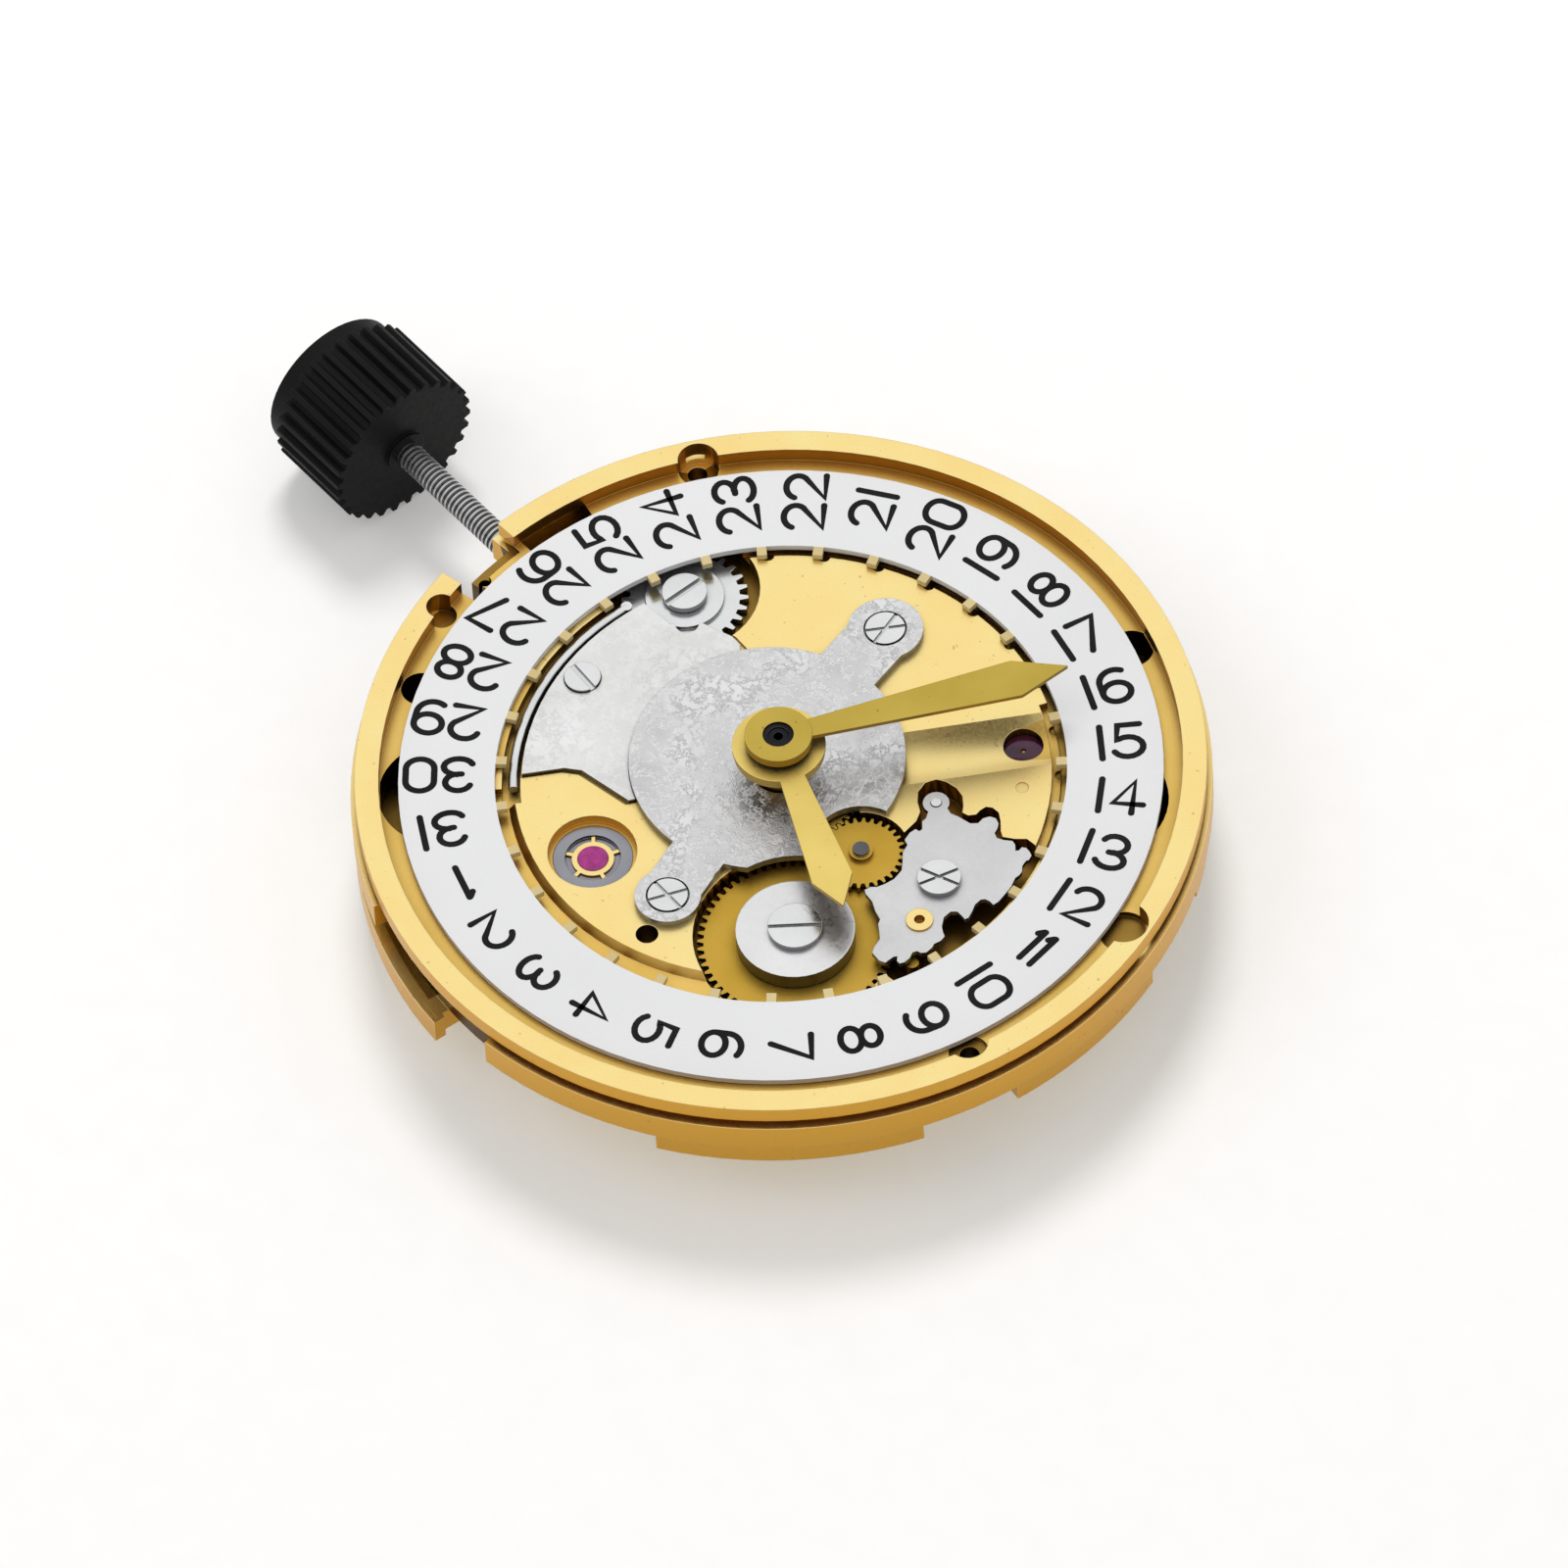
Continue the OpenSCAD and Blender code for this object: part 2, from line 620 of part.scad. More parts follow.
module keyless_cover() {
    color([0.8, 0.8, 0.81]) difference() {
        slab(platform_z - cover_t * 0.4 + fit_gap, platform_z + cover_t * 0.6) difference() {
            cover_outline(0);
            translate([6.28, -1.5]) circle(0.36);
            translate([3.9, -2.9]) circle(1.0);
        }
        at(inter_setting_pos) disc(0.25 + run_gap, -2, platform_z - cover_t * 0.4 + 0.12);
        at(cover_screw_pos) disc(0.55 + 0.02, platform_z + cover_t * 0.6 - 0.08, 1);
        at(cover_screw_pos) disc(0.25 + fit_gap, platform_z - 1, 1);
    }
}

module yoke_spring() {
    color(steel) rotate(-4) {
        rotate_extrude(angle = 56, $fn = 128) translate([8.05, platform_z - 0.05]) circle(0.15, $fn = 24);
        translate([8.05, 0, 0]) disc(0.17, platform_z - 0.22, platform_z + 0.08);
    }
}

module dial_side_screws() {
    color(steel) {
        for (i = [0, 1]) {
            at(ear_pos[i]) translate([0, 0, platform_z + keeper_t + 0.02]) {
                screw(0.6, 0.14, 0.3, 0.88, 0.1, [[-72, 58], [-1, 68]][i], 1);
            }
        }
        at(cover_screw_pos) translate([0, 0, platform_z + cover_t * 0.6 + 0.1]) {
            screw(0.55, 0.18, 0.25, 0.9, 0.18, -4, 1);
        }
        setting_wheel_screw();
        date_wheel_screw();
        jumper_screw();
    }
}

inter_setting_phase = mesh_phase(minute_z, 0, inter_setting_z, bearing(minute_pos, inter_setting_pos));
setting_phase = mesh_phase(inter_setting_z, inter_setting_phase, setting_z,
    bearing(inter_setting_pos, setting_pos));

module setting_wheel() {
    color(steel) at(setting_pos) {
        difference() {
            union() {
                slab(motion_bot, motion_top) gear_outline(setting_z, motion_m, setting_phase);
                disc(1.2, motion_top, motion_top + 0.12);
            }
            disc(0.45 + run_gap, motion_bot - 1, 1);
        }
    }
}

module setting_wheel_screw() {
    at(setting_pos) {
        translate([0, 0, platform_z - 0.04]) {
            screw(0.68, -platform_d - 0.04 - motion_top - 0.14 > 0 ? -platform_d - 0.04 - motion_top - 0.14
                : 0.2, 0.3, -platform_d - 0.04 - recess_z + 0.14, 0.2, 90, 1);
        }
        disc(0.45, recess_z, motion_top + 0.14);
    }
}

module intermediate_setting_wheel() {
    color(steel) at(inter_setting_pos) difference() {
        union() {
            slab(motion_bot, motion_top) gear_outline(inter_setting_z, motion_m, inter_setting_phase);
            disc(0.25, motion_top - 0.01, platform_z - cover_t * 0.4 + 0.1);
        }
        disc(0.1, motion_bot - 1, motion_top - 0.1);
    }
}

hour_phase = mesh_phase(minute_pinion_z, 0, hour_z, bearing(minute_pos, centre));
inter_date_phase = mesh_phase(hour_z, hour_phase, inter_date_z, bearing(centre, inter_date_pos));
date_drive_phase = mesh_phase(date_pinion_z, inter_date_phase, date_drive_z,
    bearing(inter_date_pos, date_drive_pos));
cannon_phase = mesh_phase(minute_z, 0, cannon_z, bearing(minute_pos, centre));

module intermediate_date_wheel() {
    at(inter_date_pos) {
        color(brass) {
            slab(hour_wheel_bot, hour_wheel_top) gear_outline(inter_date_z, hour_m, inter_date_phase);
            disc(0.36, hour_wheel_top, hour_wheel_top + 0.14);
            slab(date_wheel_bot - 0.03, hour_wheel_bot) gear_outline(date_pinion_z, date_m, inter_date_phase);
        }
        color(dark_steel) disc(0.25, recess_z - 0.39, hour_wheel_top + 0.24);
    }
}

module date_driving_wheel() {
    color(brass) at(date_drive_pos) {
        slab(date_wheel_bot, date_wheel_top) difference() {
            gear_outline(date_drive_z, date_m, date_drive_phase);
            circle(0.45 + run_gap);
        }
    }
}

module date_wheel_washer() {
    color(steel) at(date_drive_pos) difference() {
        disc(1.79, date_wheel_top + 0.05, platform_z + 0.22);
        disc(0.35 + fit_gap, -2, 1);
    }
}

module date_wheel_screw() {
    at(date_drive_pos) {
        translate([0, 0, platform_z + 0.4]) {
            screw(0.82, 0.18, 0.35, platform_z + 0.4 - recess_z + 0.48, 0.12, 52, 1);
        }
        difference() {
            disc(0.45, recess_z, date_wheel_top + 0.05);
            disc(0.34, recess_z - 1, 1);
        }
    }
}

// Silver plate over the date jumper, with its toothed edge
module jumper_outline() {
    polygon([[-4.22, -2.96], [-4.5, -2.89], [-4.74, -2.99], [-4.92, -3.03], [-5.17, -3.09],
        [-5.32, -3.27], [-5.28, -3.5], [-5.36, -3.7], [-5.53, -3.79], [-5.73, -3.73], [-5.85, -3.59],
        [-5.93, -3.41], [-6.11, -3.34], [-6.31, -3.44], [-6.51, -3.62], [-6.68, -3.59], [-6.85, -3.45],
        [-6.91, -3.53], [-6.88, -3.68], [-6.98, -3.76], [-7.15, -3.75], [-7.31, -3.7], [-7.38, -3.54],
        [-7.35, -3.45], [-7.42, -3.25], [-7.58, -3.1], [-7.63, -2.96], [-7.63, -2.8], [-7.72, -2.63],
        [-7.79, -2.51], [-7.84, -2.37], [-7.89, -2.2], [-7.92, -2.08], [-7.98, -1.85], [-7.97, -1.66],
        [-7.78, -1.66], [-7.64, -1.61], [-7.57, -1.5], [-7.6, -1.25], [-7.73, -1.04], [-7.85, -0.79],
        [-7.82, -0.68], [-7.64, -0.69], [-7.45, -0.69], [-7.32, -0.54], [-7.35, -0.25], [-7.57, 0.01],
        [-7.77, 0.13], [-7.91, 0.18], [-7.96, 0.38], [-7.92, 0.6], [-7.99, 0.75], [-8.01, 0.98],
        [-7.92, 1.11], [-7.79, 1.15], [-7.74, 1.29], [-7.84, 1.48], [-7.86, 1.7], [-7.8, 1.84],
        [-7.67, 1.84], [-7.55, 1.72], [-7.49, 1.81], [-7.49, 2.01], [-7.5, 2.14], [-7.31, 2.23],
        [-6.95, 2.2], [-6.82, 2.01], [-6.71, 1.7], [-6.47, 1.53], [-6.25, 1.39], [-6.15, 1.23],
        [-5.83, 1.15], [-5.49, 0.99], [-5.13, 0.95], [-5, 0.88], [-5.03, 0.68], [-5.16, 0.53],
        [-5.23, 0.28], [-5.27, -0.04], [-5.17, -0.42], [-4.96, -0.63], [-4.68, -0.87], [-4.55, -1.16],
        [-4.35, -1.22], [-4.25, -1.49], [-4.25, -1.72], [-4.39, -1.76], [-4.39, -1.87], [-4.16, -2.06],
        [-4.15, -2.22], [-3.93, -2.52]]);
}

module date_jumper_plate() {
    color([0.8, 0.8, 0.81]) difference() {
        union() {
            slab(platform_z - 0.07, platform_z + 0.1) jumper_outline();
            at(ear_pin_pos) disc(0.4, platform_z - 0.07, platform_z + 0.1);
        }
        at(jumper_screw_pos) disc(0.3 + fit_gap, -2, 1);
        at(eyelet_pos) disc(0.3 + fit_gap, -2, 1);
        at(ear_pin_pos) disc(0.16 + fit_gap, -2, 1);
    }
}

module date_jumper() {
    color(brass) difference() {
        slab(recess_z - 0.05, platform_z - 0.2) {
            bar([-7.3, 1.25], [-7.85, 1.4], 0.35);
            bar([-7.3, 1.25], eyelet_pos, 0.4);
            bar(eyelet_pos, [-6.4, -2.0], 0.22);
            bar([-6.4, -2.0], [-5.0, -1.9], 0.18);
            translate(eyelet_pos) circle(0.42);
        }
        at(eyelet_pos) disc(0.3 + fit_gap, -2, 1);
        at(jumper_screw_pos) disc(0.32 + fit_gap, -2, 1);
    }
}

module jumper_screw() {
    at(jumper_screw_pos) translate([0, 0, platform_z + 0.3]) {
        screw(0.65, 0.2, 0.3, platform_z + 0.3 - recess_z + 0.58, 0.1, [22, 75], 1);
    }
}

module jumper_eyelet() {
    color(gold) at(eyelet_pos) difference() {
        union() {
            disc(0.41, platform_z + 0.1, platform_z + 0.16);
            disc(0.3, recess_z - 0.1, platform_z + 0.12);
        }
        disc(0.16, platform_z - 0.1, 1);
    }
    color(steel) at(ear_pin_pos) disc(0.16, recess_z - 0.1, platform_z + 0.14);
}

// The two shock settings of the balance: one in the plate, one in the cock
module at_shocks() {
    at(balance_pos) translate([0, 0, platform_z - 0.3]) children();
    at(balance_pos) translate([0, 0, cock_bot + 0.02]) mirror([0, 0, 1]) children();
}

module shock_blocks() {
    color(steel) at_shocks() difference() {
        disc(1.205, -0.3, 0);
        disc(0.845, -0.12, 1);
        disc(0.47, -2, 1);
    }
}

module shock_springs() {
    color(gold) at_shocks() slab(-0.11, -0.05) {
        difference() {
            circle(0.64);
            circle(0.47);
        }
        for (a = [35, 100, 165, 250, 320]) {
            rotate(a) translate([0.55, -0.06]) square([0.29, 0.12]);
        }
    }
}

module shock_jewels() {
    at_shocks() difference() {
        disc(0.46, -0.28, -0.04);
        disc(pivot_r + run_gap, -1, -0.14);
    }
}

// Jewels pressed into the plate and the bridges
module bearing_jewel(r, z0, z1) {
    difference() {
        disc(r, z0, z1);
        disc(pivot_r + run_gap, z0 - 1, z1 + 1);
    }
}

module bearing_jewels() {
    color(ruby) {
        for (p = [great_pos, third_pos, escape_pos, pallet_pos]) {
            at(p) bearing_jewel(0.4, floor_z + 0.02, floor_z + 0.24);
            }
        for (p = [great_pos, third_pos, escape_pos, centre]) {
            at(p) bearing_jewel(0.4, train_bridge_bot + 0.02, train_bridge_bot + 0.2);
        }
        at(pallet_pos) bearing_jewel(0.3, floor_z - 0.6, floor_z - 0.47);
        at(dial_ruby_pos) bearing_jewel(0.6, platform_z - 0.7, platform_z - 0.45);
        shock_jewels();
    }
}

module hour_wheel() {
    color(brass) difference() {
        union() {
            slab(hour_wheel_bot, hour_wheel_top) gear_outline(hour_z, hour_m, hour_phase);
            disc(0.75, hour_wheel_bot, hour_top - 0.02);
        }
        disc(0.46 + 2 * run_gap, -2, 3);
    }
}

// Hand outline that points along angle 0
module hand_blade(length, neck_w, wide_w, wide_at) {
    polygon([[0, -neck_w / 2], [wide_at, -wide_w / 2], [length, 0], [wide_at, wide_w / 2], [0, neck_w / 2]]);
}

module hour_hand() {
    color([0.8, 0.68, 0.3]) difference() {
        union() {
            slab(hour_top - hand_t, hour_top) rotate(158) {
                hand_blade(hour_len, 0.6, 1.25, 5.3);
                circle(hour_hub_r);
            }
            disc(hour_hub_r - 0.03, hour_top - 0.36, hour_top);
        }
        disc(0.75 + fit_gap, -1, 3);
    }
}

module minute_hand() {
    color([0.8, 0.68, 0.3]) difference() {
        union() {
            slab(minute_top - hand_t - 0.04, minute_top - 0.04) rotate(-114.4) {
                hand_blade(minute_len, 0.55, 1.35, 7.4);
            }
            disc(minute_hub_r, minute_top - 0.3, minute_top);
        }
        disc(0.46 + fit_gap, -1, 3);
    }
}

module cannon_pinion() {
    color(dark_steel) difference() {
        union() {
            slab(motion_bot - 0.03, motion_top + 0.04) gear_outline(cannon_z, motion_m, cannon_phase);
            disc(0.46, drive_top - train_t - 0.02, minute_top - 0.06);
        }
        disc(0.3 + run_gap, -4, 3);
    }
}

module minute_wheel() {
    color(brass) at(minute_pos) {
        slab(motion_bot, motion_top) gear_outline(minute_z, motion_m, 0);
        slab(motion_top, hour_wheel_top) gear_outline(minute_pinion_z, hour_m, 0);
        disc(0.25, recess_z - 0.39, motion_bot + 0.01);
    }
}

// Train side
barrel_phase = mesh_phase(great_pinion_z, 0, barrel_z, bearing(great_pos, barrel_pos));
third_pinion_phase = mesh_phase(great_z, 0, third_pinion_z, bearing(great_pos, third_pos));
drive_phase = mesh_phase(third_pinion_z, third_pinion_phase, drive_z, bearing(third_pos, centre));
seconds_pinion_phase = mesh_phase(third_z, 0, seconds_pinion_z, bearing(third_pos, centre));
escape_pinion_phase = mesh_phase(seconds_z, 0, escape_pinion_z, bearing(centre, escape_pos));

module driving_wheel() {
    color(brass) slab(drive_top - train_t, drive_top) difference() {
        gear_outline(drive_z, great_m, drive_phase);
        circle(0.46 + run_gap);
    }
}

module seconds_wheel() {
    color(brass) slab(seconds_top - train_t, seconds_top) {
        wheel_outline(seconds_z, seconds_m, 0, 0.25, 0.5, 5, 0.2, 0.29);
    }
    color(steel) difference() {
        union() {
            disc(0.3, seconds_top - train_t - 0.05, minute_top - 0.1);
            disc(0.2, train_bridge_top + 0.03, seconds_top);
            disc(pivot_r, train_bridge_bot + 0.03, seconds_top);
            slab(third_top - train_t - 0.04, third_top + 0.04) {
                gear_outline(seconds_pinion_z, third_m, seconds_pinion_phase);
            }
        }
        disc(0.15, minute_top - 0.7, 3);
    }
}

module third_wheel() {
    at(third_pos) {
        color(brass) slab(third_top - train_t, third_top) {
            wheel_outline(third_z, third_m, 0, 0.25, 0.5, 5, 0.2, 0);
        }
        color(steel) {
            for (z = [great_top, drive_top]) {
                slab(z - train_t - 0.02, z + 0.02) gear_outline(third_pinion_z, great_m, third_pinion_phase);
            }
            disc(0.15, train_bridge_top + 0.03, floor_z - 0.03);
            disc(pivot_r, train_bridge_bot + 0.03, floor_z + 0.2);
        }
    }
}

module great_wheel() {
    at(great_pos) {
        color(brass) {
            slab(great_top - train_t, great_top) wheel_outline(great_z, great_m, 0, 0.3, 0.6, 5, 0.25, 0);
        }
        color(steel) {
            slab(barrel_bot, barrel_rim_top + 0.03) gear_outline(great_pinion_z, barrel_m, 0);
            disc(0.15, train_bridge_top + 0.03, floor_z - 0.02);
            disc(pivot_r, train_bridge_bot + 0.03, floor_z + 0.2);
        }
    }
}

module escape_wheel() {
    at(escape_pos) {
        color([0.85, 0.76, 0.5]) slab(escape_top - train_t, escape_top) difference() {
            polygon([for (i = [0 : escape_teeth - 1]) each [
                polar(escape_r - 0.32, (i - 0.42) * 18),
                polar(escape_r - 0.3, (i + 0.1) * 18),
                polar(escape_r - 0.04, (i + 0.3) * 18),
                polar(escape_r, (i + 0.46) * 18)]]);
            difference() {
                circle(escape_r - 0.5);
                circle(0.35);
                for (a = [0, 90]) {
                    rotate(a) square([2 * escape_r, 0.16], center = true);
                }
            }
        }
        color(steel) {
            slab(seconds_top - train_t - 0.04, seconds_top + 0.02) {
                gear_outline(escape_pinion_z, seconds_m, escape_pinion_phase);
            }
            disc(0.08, train_bridge_top + 0.03, floor_z - 0.03);
            disc(pivot_r, train_bridge_bot + 0.03, floor_z + 0.2);
        }
    }
}

// Place of the pallet stones, seen from the fork's arbor: just outside the escape wheel's tips
stone_pos = [for (side = [-1, 1]) [escape_r + 0.21, 0] * cos(pallet_span)
    - [escape_r / cos(pallet_span), 0] + [0, side * (escape_r + 0.21) * sin(pallet_span)]];
fork_len = norm(balance_pos - pallet_pos) - impulse_r - 0.1;
fork_top = floor_z - 0.03;
fork_bot = escape_top + 0.03;

module pallet_fork() {
    at(pallet_pos) rotate(pallet_angle) color(steel) {
        slab(fork_bot, fork_top) difference() {
            union() {
                bar([0, 0], [fork_len - 0.2, 0], 0.16);
                bar([0, 0], stone_pos[0], 0.2);
                bar([0, 0], stone_pos[1], 0.2);
                translate([fork_len - 0.3, -0.26]) square([0.3, 0.52]);
                circle(0.22);
            }
            translate([fork_len - 0.16, -0.1]) square([0.5, 0.2]);
        }
        disc(0.09, floor_z - 0.44, floor_z - 0.02);
        disc(pivot_r, floor_z - 0.6, floor_z + 0.2);
    }
}

module pallet_stones() {
    color(ruby) at(pallet_pos) rotate(pallet_angle) for (i = [0, 1]) {
        translate([stone_pos[i][0], stone_pos[i][1], escape_top - train_t]) {
            rotate((2 * i - 1) * pallet_span) translate([-0.1, -0.06, 0]) {
                cube([0.2, 0.12, fork_bot - escape_top + train_t]);
            }
        }
    }
}

module balance_wheel() {
    at(balance_pos) {
        color(gold) {
            slab(balance_bot, balance_top) difference() {
                circle(balance_r, $fn = 128);
                circle(balance_r - balance_rim_w, $fn = 128);
            }
            slab(balance_bot + 0.06, balance_top - 0.07) {
                circle(0.7);
                for (a = [30, 150, 270]) {
                    rotate(a) translate([0, -0.2]) square([balance_r - balance_rim_w + 0.1, 0.4]);
                }
            }
        }
        color(steel) {
            disc(0.18, cock_top + 0.14, balance_top + 0.25);
            disc(pivot_r, cock_bot + 0.18, platform_z - 0.46);
            disc(0.12, balance_top, floor_z + 0.7);
        }
    }
}

module balance_roller() {
    at(balance_pos) {
        color(steel) difference() {
            union() {
                disc(0.62, balance_top + 0.26, balance_top + 0.38);
                disc(0.3, balance_top + 0.38, floor_z - 0.14);
            }
            disc(0.12 + fit_gap, -5, 1);
        }
        color(ruby) rotate(pallet_angle + 180) translate([impulse_r, 0, 0]) {
            disc(0.07, balance_top + 0.38, fork_top);
        }
    }
}

module hairspring() {
    color([0.5, 0.55, 0.68]) at(balance_pos) slab(cock_top + 0.02, cock_top + 0.12) {
        spiral(0.5, 2.35, 11, 0.05);
    }
}

module balance_cock() {
    color([0.84, 0.82, 0.76]) difference() {
        slab(cock_bot, cock_top) {
            translate(balance_pos) circle(1.75);
            polygon([balance_pos + [0.95, -1.35], cock_foot + [1.25, -1.1], cock_foot + [-0.6, 1.6],
                balance_pos + [-0.6, 1.6]]);
            translate(cock_foot) circle(1.7);
        }
        at(balance_pos) disc(1.205 + fit_gap, cock_bot - 1, cock_top + 1);
        at(cock_foot) disc(0.7, cock_bot - 1, cock_bot + 0.15);
        at(cock_foot) disc(0.35 + fit_gap, -9, 1);
    }
}

module regulator() {
    color(steel) at(balance_pos) slab(cock_bot - 0.09, cock_bot - 0.01) difference() {
        union() {
            circle(1.55);
            bar([0, 0], polar(3.0, 95), 0.3);
            bar([0, 0], polar(2.3, 215), 0.5);
        }
        circle(1.24);
    }
}

module barrel_drum() {
    at(barrel_pos) color(brass) {
        difference() {
            union() {
                disc(4.5, barrel_bot + 0.08, barrel_top);
                slab(barrel_bot + 0.08, barrel_rim_top) gear_outline(barrel_z, barrel_m, barrel_phase);
            }
            disc(4.3, barrel_bot, barrel_top - 0.12);
            disc(0.6 + run_gap, -9, 1);
        }
    }
}

module barrel_cover() {
    color(brass) at(barrel_pos) difference() {
        disc(4.3 - fit_gap, barrel_bot, barrel_bot + 0.14);
        disc(0.6 + run_gap, -9, 1);
    }
}

module mainspring() {
    color(dark_steel) at(barrel_pos) slab(barrel_bot + 0.18, barrel_top - 0.16) {
        spiral(1.15, 4.15, 9, 0.12);
    }
}

module barrel_arbor() {
    color(steel) at(barrel_pos) {
        disc(1.0, barrel_bot + 0.17, barrel_top - 0.15);
        disc(0.6, barrel_bot - 0.04, barrel_top + 0.03);
        disc(0.35, barrel_bot - 0.04, barrel_top + 0.26);
        disc(0.55, barrel_bridge_bot - 0.01, barrel_bot - 0.04);
        slab(ratchet_bot + 0.01, barrel_bridge_bot) square(0.7, center = true);
    }
}

driver_phase = mesh_phase(ratchet_z, 0, driver_z, bearing(barrel_pos, driver_pos));
reduction_phase = mesh_phase(driver_z, driver_phase, reduction_pinion_z, bearing(driver_pos, reduction_pos));
crown_wheel_phase = mesh_phase(ratchet_z, 0, crown_wheel_z, bearing(barrel_pos, crown_wheel_pos));
reverser_pinion_phase = mesh_phase(reduction_z, 0, reversing_pinion_z,
    bearing(reduction_pos, reverser_b_pos));
reverser_a_phase = mesh_phase(rotor_z, 0, reversing_z, bearing(centre, reverser_a_pos));
reverser_b_phase = mesh_phase(reversing_z, reverser_a_phase, reversing_z,
    bearing(reverser_a_pos, reverser_b_pos));

module ratchet_wheel() {
    color(steel) at(barrel_pos) slab(ratchet_bot, ratchet_top) difference() {
        gear_outline(ratchet_z, ratchet_m, 0);
        square(0.7 + 2 * fit_gap, center = true);
    }
}

module ratchet_screw() {
    color(steel) at(barrel_pos) translate([0, 0, ratchet_bot - 0.16]) screw(0.95, 0.15, 0.25, 0.17, 0.2, 30, -1);
}

module crown_wheel() {
    color(steel) at(crown_wheel_pos) slab(ratchet_bot, ratchet_top) difference() {
        gear_outline(crown_wheel_z, ratchet_m, crown_wheel_phase);
        circle(0.8 + run_gap);
    }
}

module click() {
    color(steel) difference() {
        union() {
            at(click_pivot) disc(0.42, ratchet_bot, ratchet_top);
            slab(ratchet_bot, ratchet_top) bar(click_pivot, barrel_pos + polar(4.55, 42), 0.28);
        }
        at(click_pivot) disc(0.2 + run_gap, -9, 1);
    }
}

module barrel_bridge() {
    color([0.84, 0.82, 0.76]) difference() {
        slab(barrel_bridge_bot, barrel_bridge_top) difference() {
            union() {
                intersection() {
                    translate(barrel_pos) circle(5.6, $fn = 96);
                    circle(wall_r - 0.7, $fn = 128);
                }
                translate(crown_wheel_pos) circle(2.3);
                translate(driver_pos) circle(0.8);
                polygon([[3.6, 2.0], [7.8, 4.0], [9.2, 3.0], [9.2, -2.4], [9.9, -5], [3, -2]]);
                for (p = barrel_posts) {
                    translate(p) circle(1.05);
                }
                bar(barrel_posts[2], barrel_posts[2] + [1.4, 1.6], 1.6);
            }
            translate(great_pos) circle(2.9, $fn = 96);
            circle(2.85, $fn = 96);
            translate([7.65, -1.25]) square([0.8, 2.5]);
        }
        translate([5.7, -0.75, stem_z - pinion_r - 0.04]) cube([2, 1.5, 1]);
        at(barrel_pos) disc(0.55 + run_gap, -9, 1);
        for (p = barrel_posts) {
            at(p) disc(0.3 + fit_gap, -9, 1);
            at(p) disc(0.62, barrel_bridge_bot - 1, barrel_bridge_bot + 0.16);
        }
        for (i = [0, 1]) {
            at(auto_feet[i]) disc(0.22 + fit_gap, -9, 1);
        }
    }
    // Cores of the crown wheel and the driving gear, and stud of the click
    color(steel) {
        at(driver_pos) disc(0.5, ratchet_bot - 0.02, barrel_bridge_bot + 0.01);
        at(driver_pos) disc(0.75, ratchet_bot - 0.1, ratchet_bot - 0.02);
        at(crown_wheel_pos) disc(0.8, ratchet_bot - 0.02, barrel_bridge_bot + 0.01);
        at(crown_wheel_pos) disc(1.1, ratchet_bot - 0.12, ratchet_bot - 0.02);
        at(click_pivot) disc(0.2, ratchet_bot - 0.02, barrel_bridge_bot + 0.01);
    }
}

module train_bridge() {
    color([0.84, 0.82, 0.76]) difference() {
        union() {
            disc(1.3, train_bridge_bot, train_bridge_top);
            at(great_pos) disc(1.3, train_bridge_bot, train_bridge_top);
            at(escape_pos) disc(0.72, train_bridge_bot, train_bridge_top);
            slab(train_bridge_bot, train_bridge_top) {
                polygon([[0.9, 0.9], [1.2, -0.6], [0.3, -3.6], [-1.6, -4.2], [-7.0, -7.3], [-8.6, -6.0],
                    [-9.6, -1.2], [-8.3, 1.2], [-6.3, 5.2], [-4.6, 5.3], [-2.6, 3.0], [-1.2, 2.6]]);
            }
            for (p = train_posts) {
                at(p) disc(1.05, train_bridge_bot, train_bridge_top);
            }
        }
        at(balance_pos) disc(balance_r + 0.06, -9, 1, $fn = 96);
        at(reduction_pos) disc(0.75, -9, 1);
        for (p = [great_pos, third_pos, escape_pos, centre]) {
            at(p) disc(0.4 + fit_gap, train_bridge_bot - 1, train_bridge_bot + 0.2);
            at(p) disc(pivot_r + run_gap, -9, 1);
        }
        for (p = train_posts) {
            at(p) disc(0.3 + fit_gap, -9, 1);
            at(p) disc(0.62, train_bridge_bot - 1, train_bridge_bot + 0.14);
        }
        at(auto_feet[2]) disc(0.22 + fit_gap, -9, 1);
    }
}

module pallet_bridge() {
    color([0.84, 0.82, 0.76]) difference() {
        slab(floor_z - 0.65, floor_z - 0.45) {
            bar(pallet_feet[0], pallet_pos, 0.7);
            bar(pallet_pos, pallet_feet[1], 0.7);
        }
        at(pallet_pos) disc(0.3 + fit_gap, floor_z - 1, floor_z - 0.47);
        at(pallet_pos) disc(pivot_r + 2 * run_gap, -9, 1);
        for (p = pallet_feet) {
            at(p) disc(0.18 + fit_gap, -9, 1);
        }
    }
}

module bridge_screws() {
    color(steel) {
        for (i = [0 : 2]) {
            at(barrel_posts[i]) translate([0, 0, barrel_bridge_bot]) {
                screw(0.6, 0.15, 0.3, 0.9, 0.12, 40 * i, -1);
            }
            at(train_posts[i]) translate([0, 0, train_bridge_bot]) screw(0.6, 0.13, 0.3, 1.2, 0.12, 55 * i, -1);
        }
        for (i = [0, 1]) {
            at(pallet_feet[i]) translate([0, 0, floor_z - 0.75]) screw(0.33, 0.09, 0.18, 0.9, 0.08, 70 * i, -1);
        }
        at(cock_foot) translate([0, 0, cock_bot + 0.01]) screw(0.68, 0.13, 0.35, 1.6, 0.14, 15, -1);
        for (i = [0 : 2]) {
            at(auto_feet[i]) translate([0, 0, auto_bridge_bot]) {
                screw(0.45, 0.12, 0.22, i < 2 ? 1.2 : 0.6, 0.1, 35 * i, -1);
            }
        }
    }
}

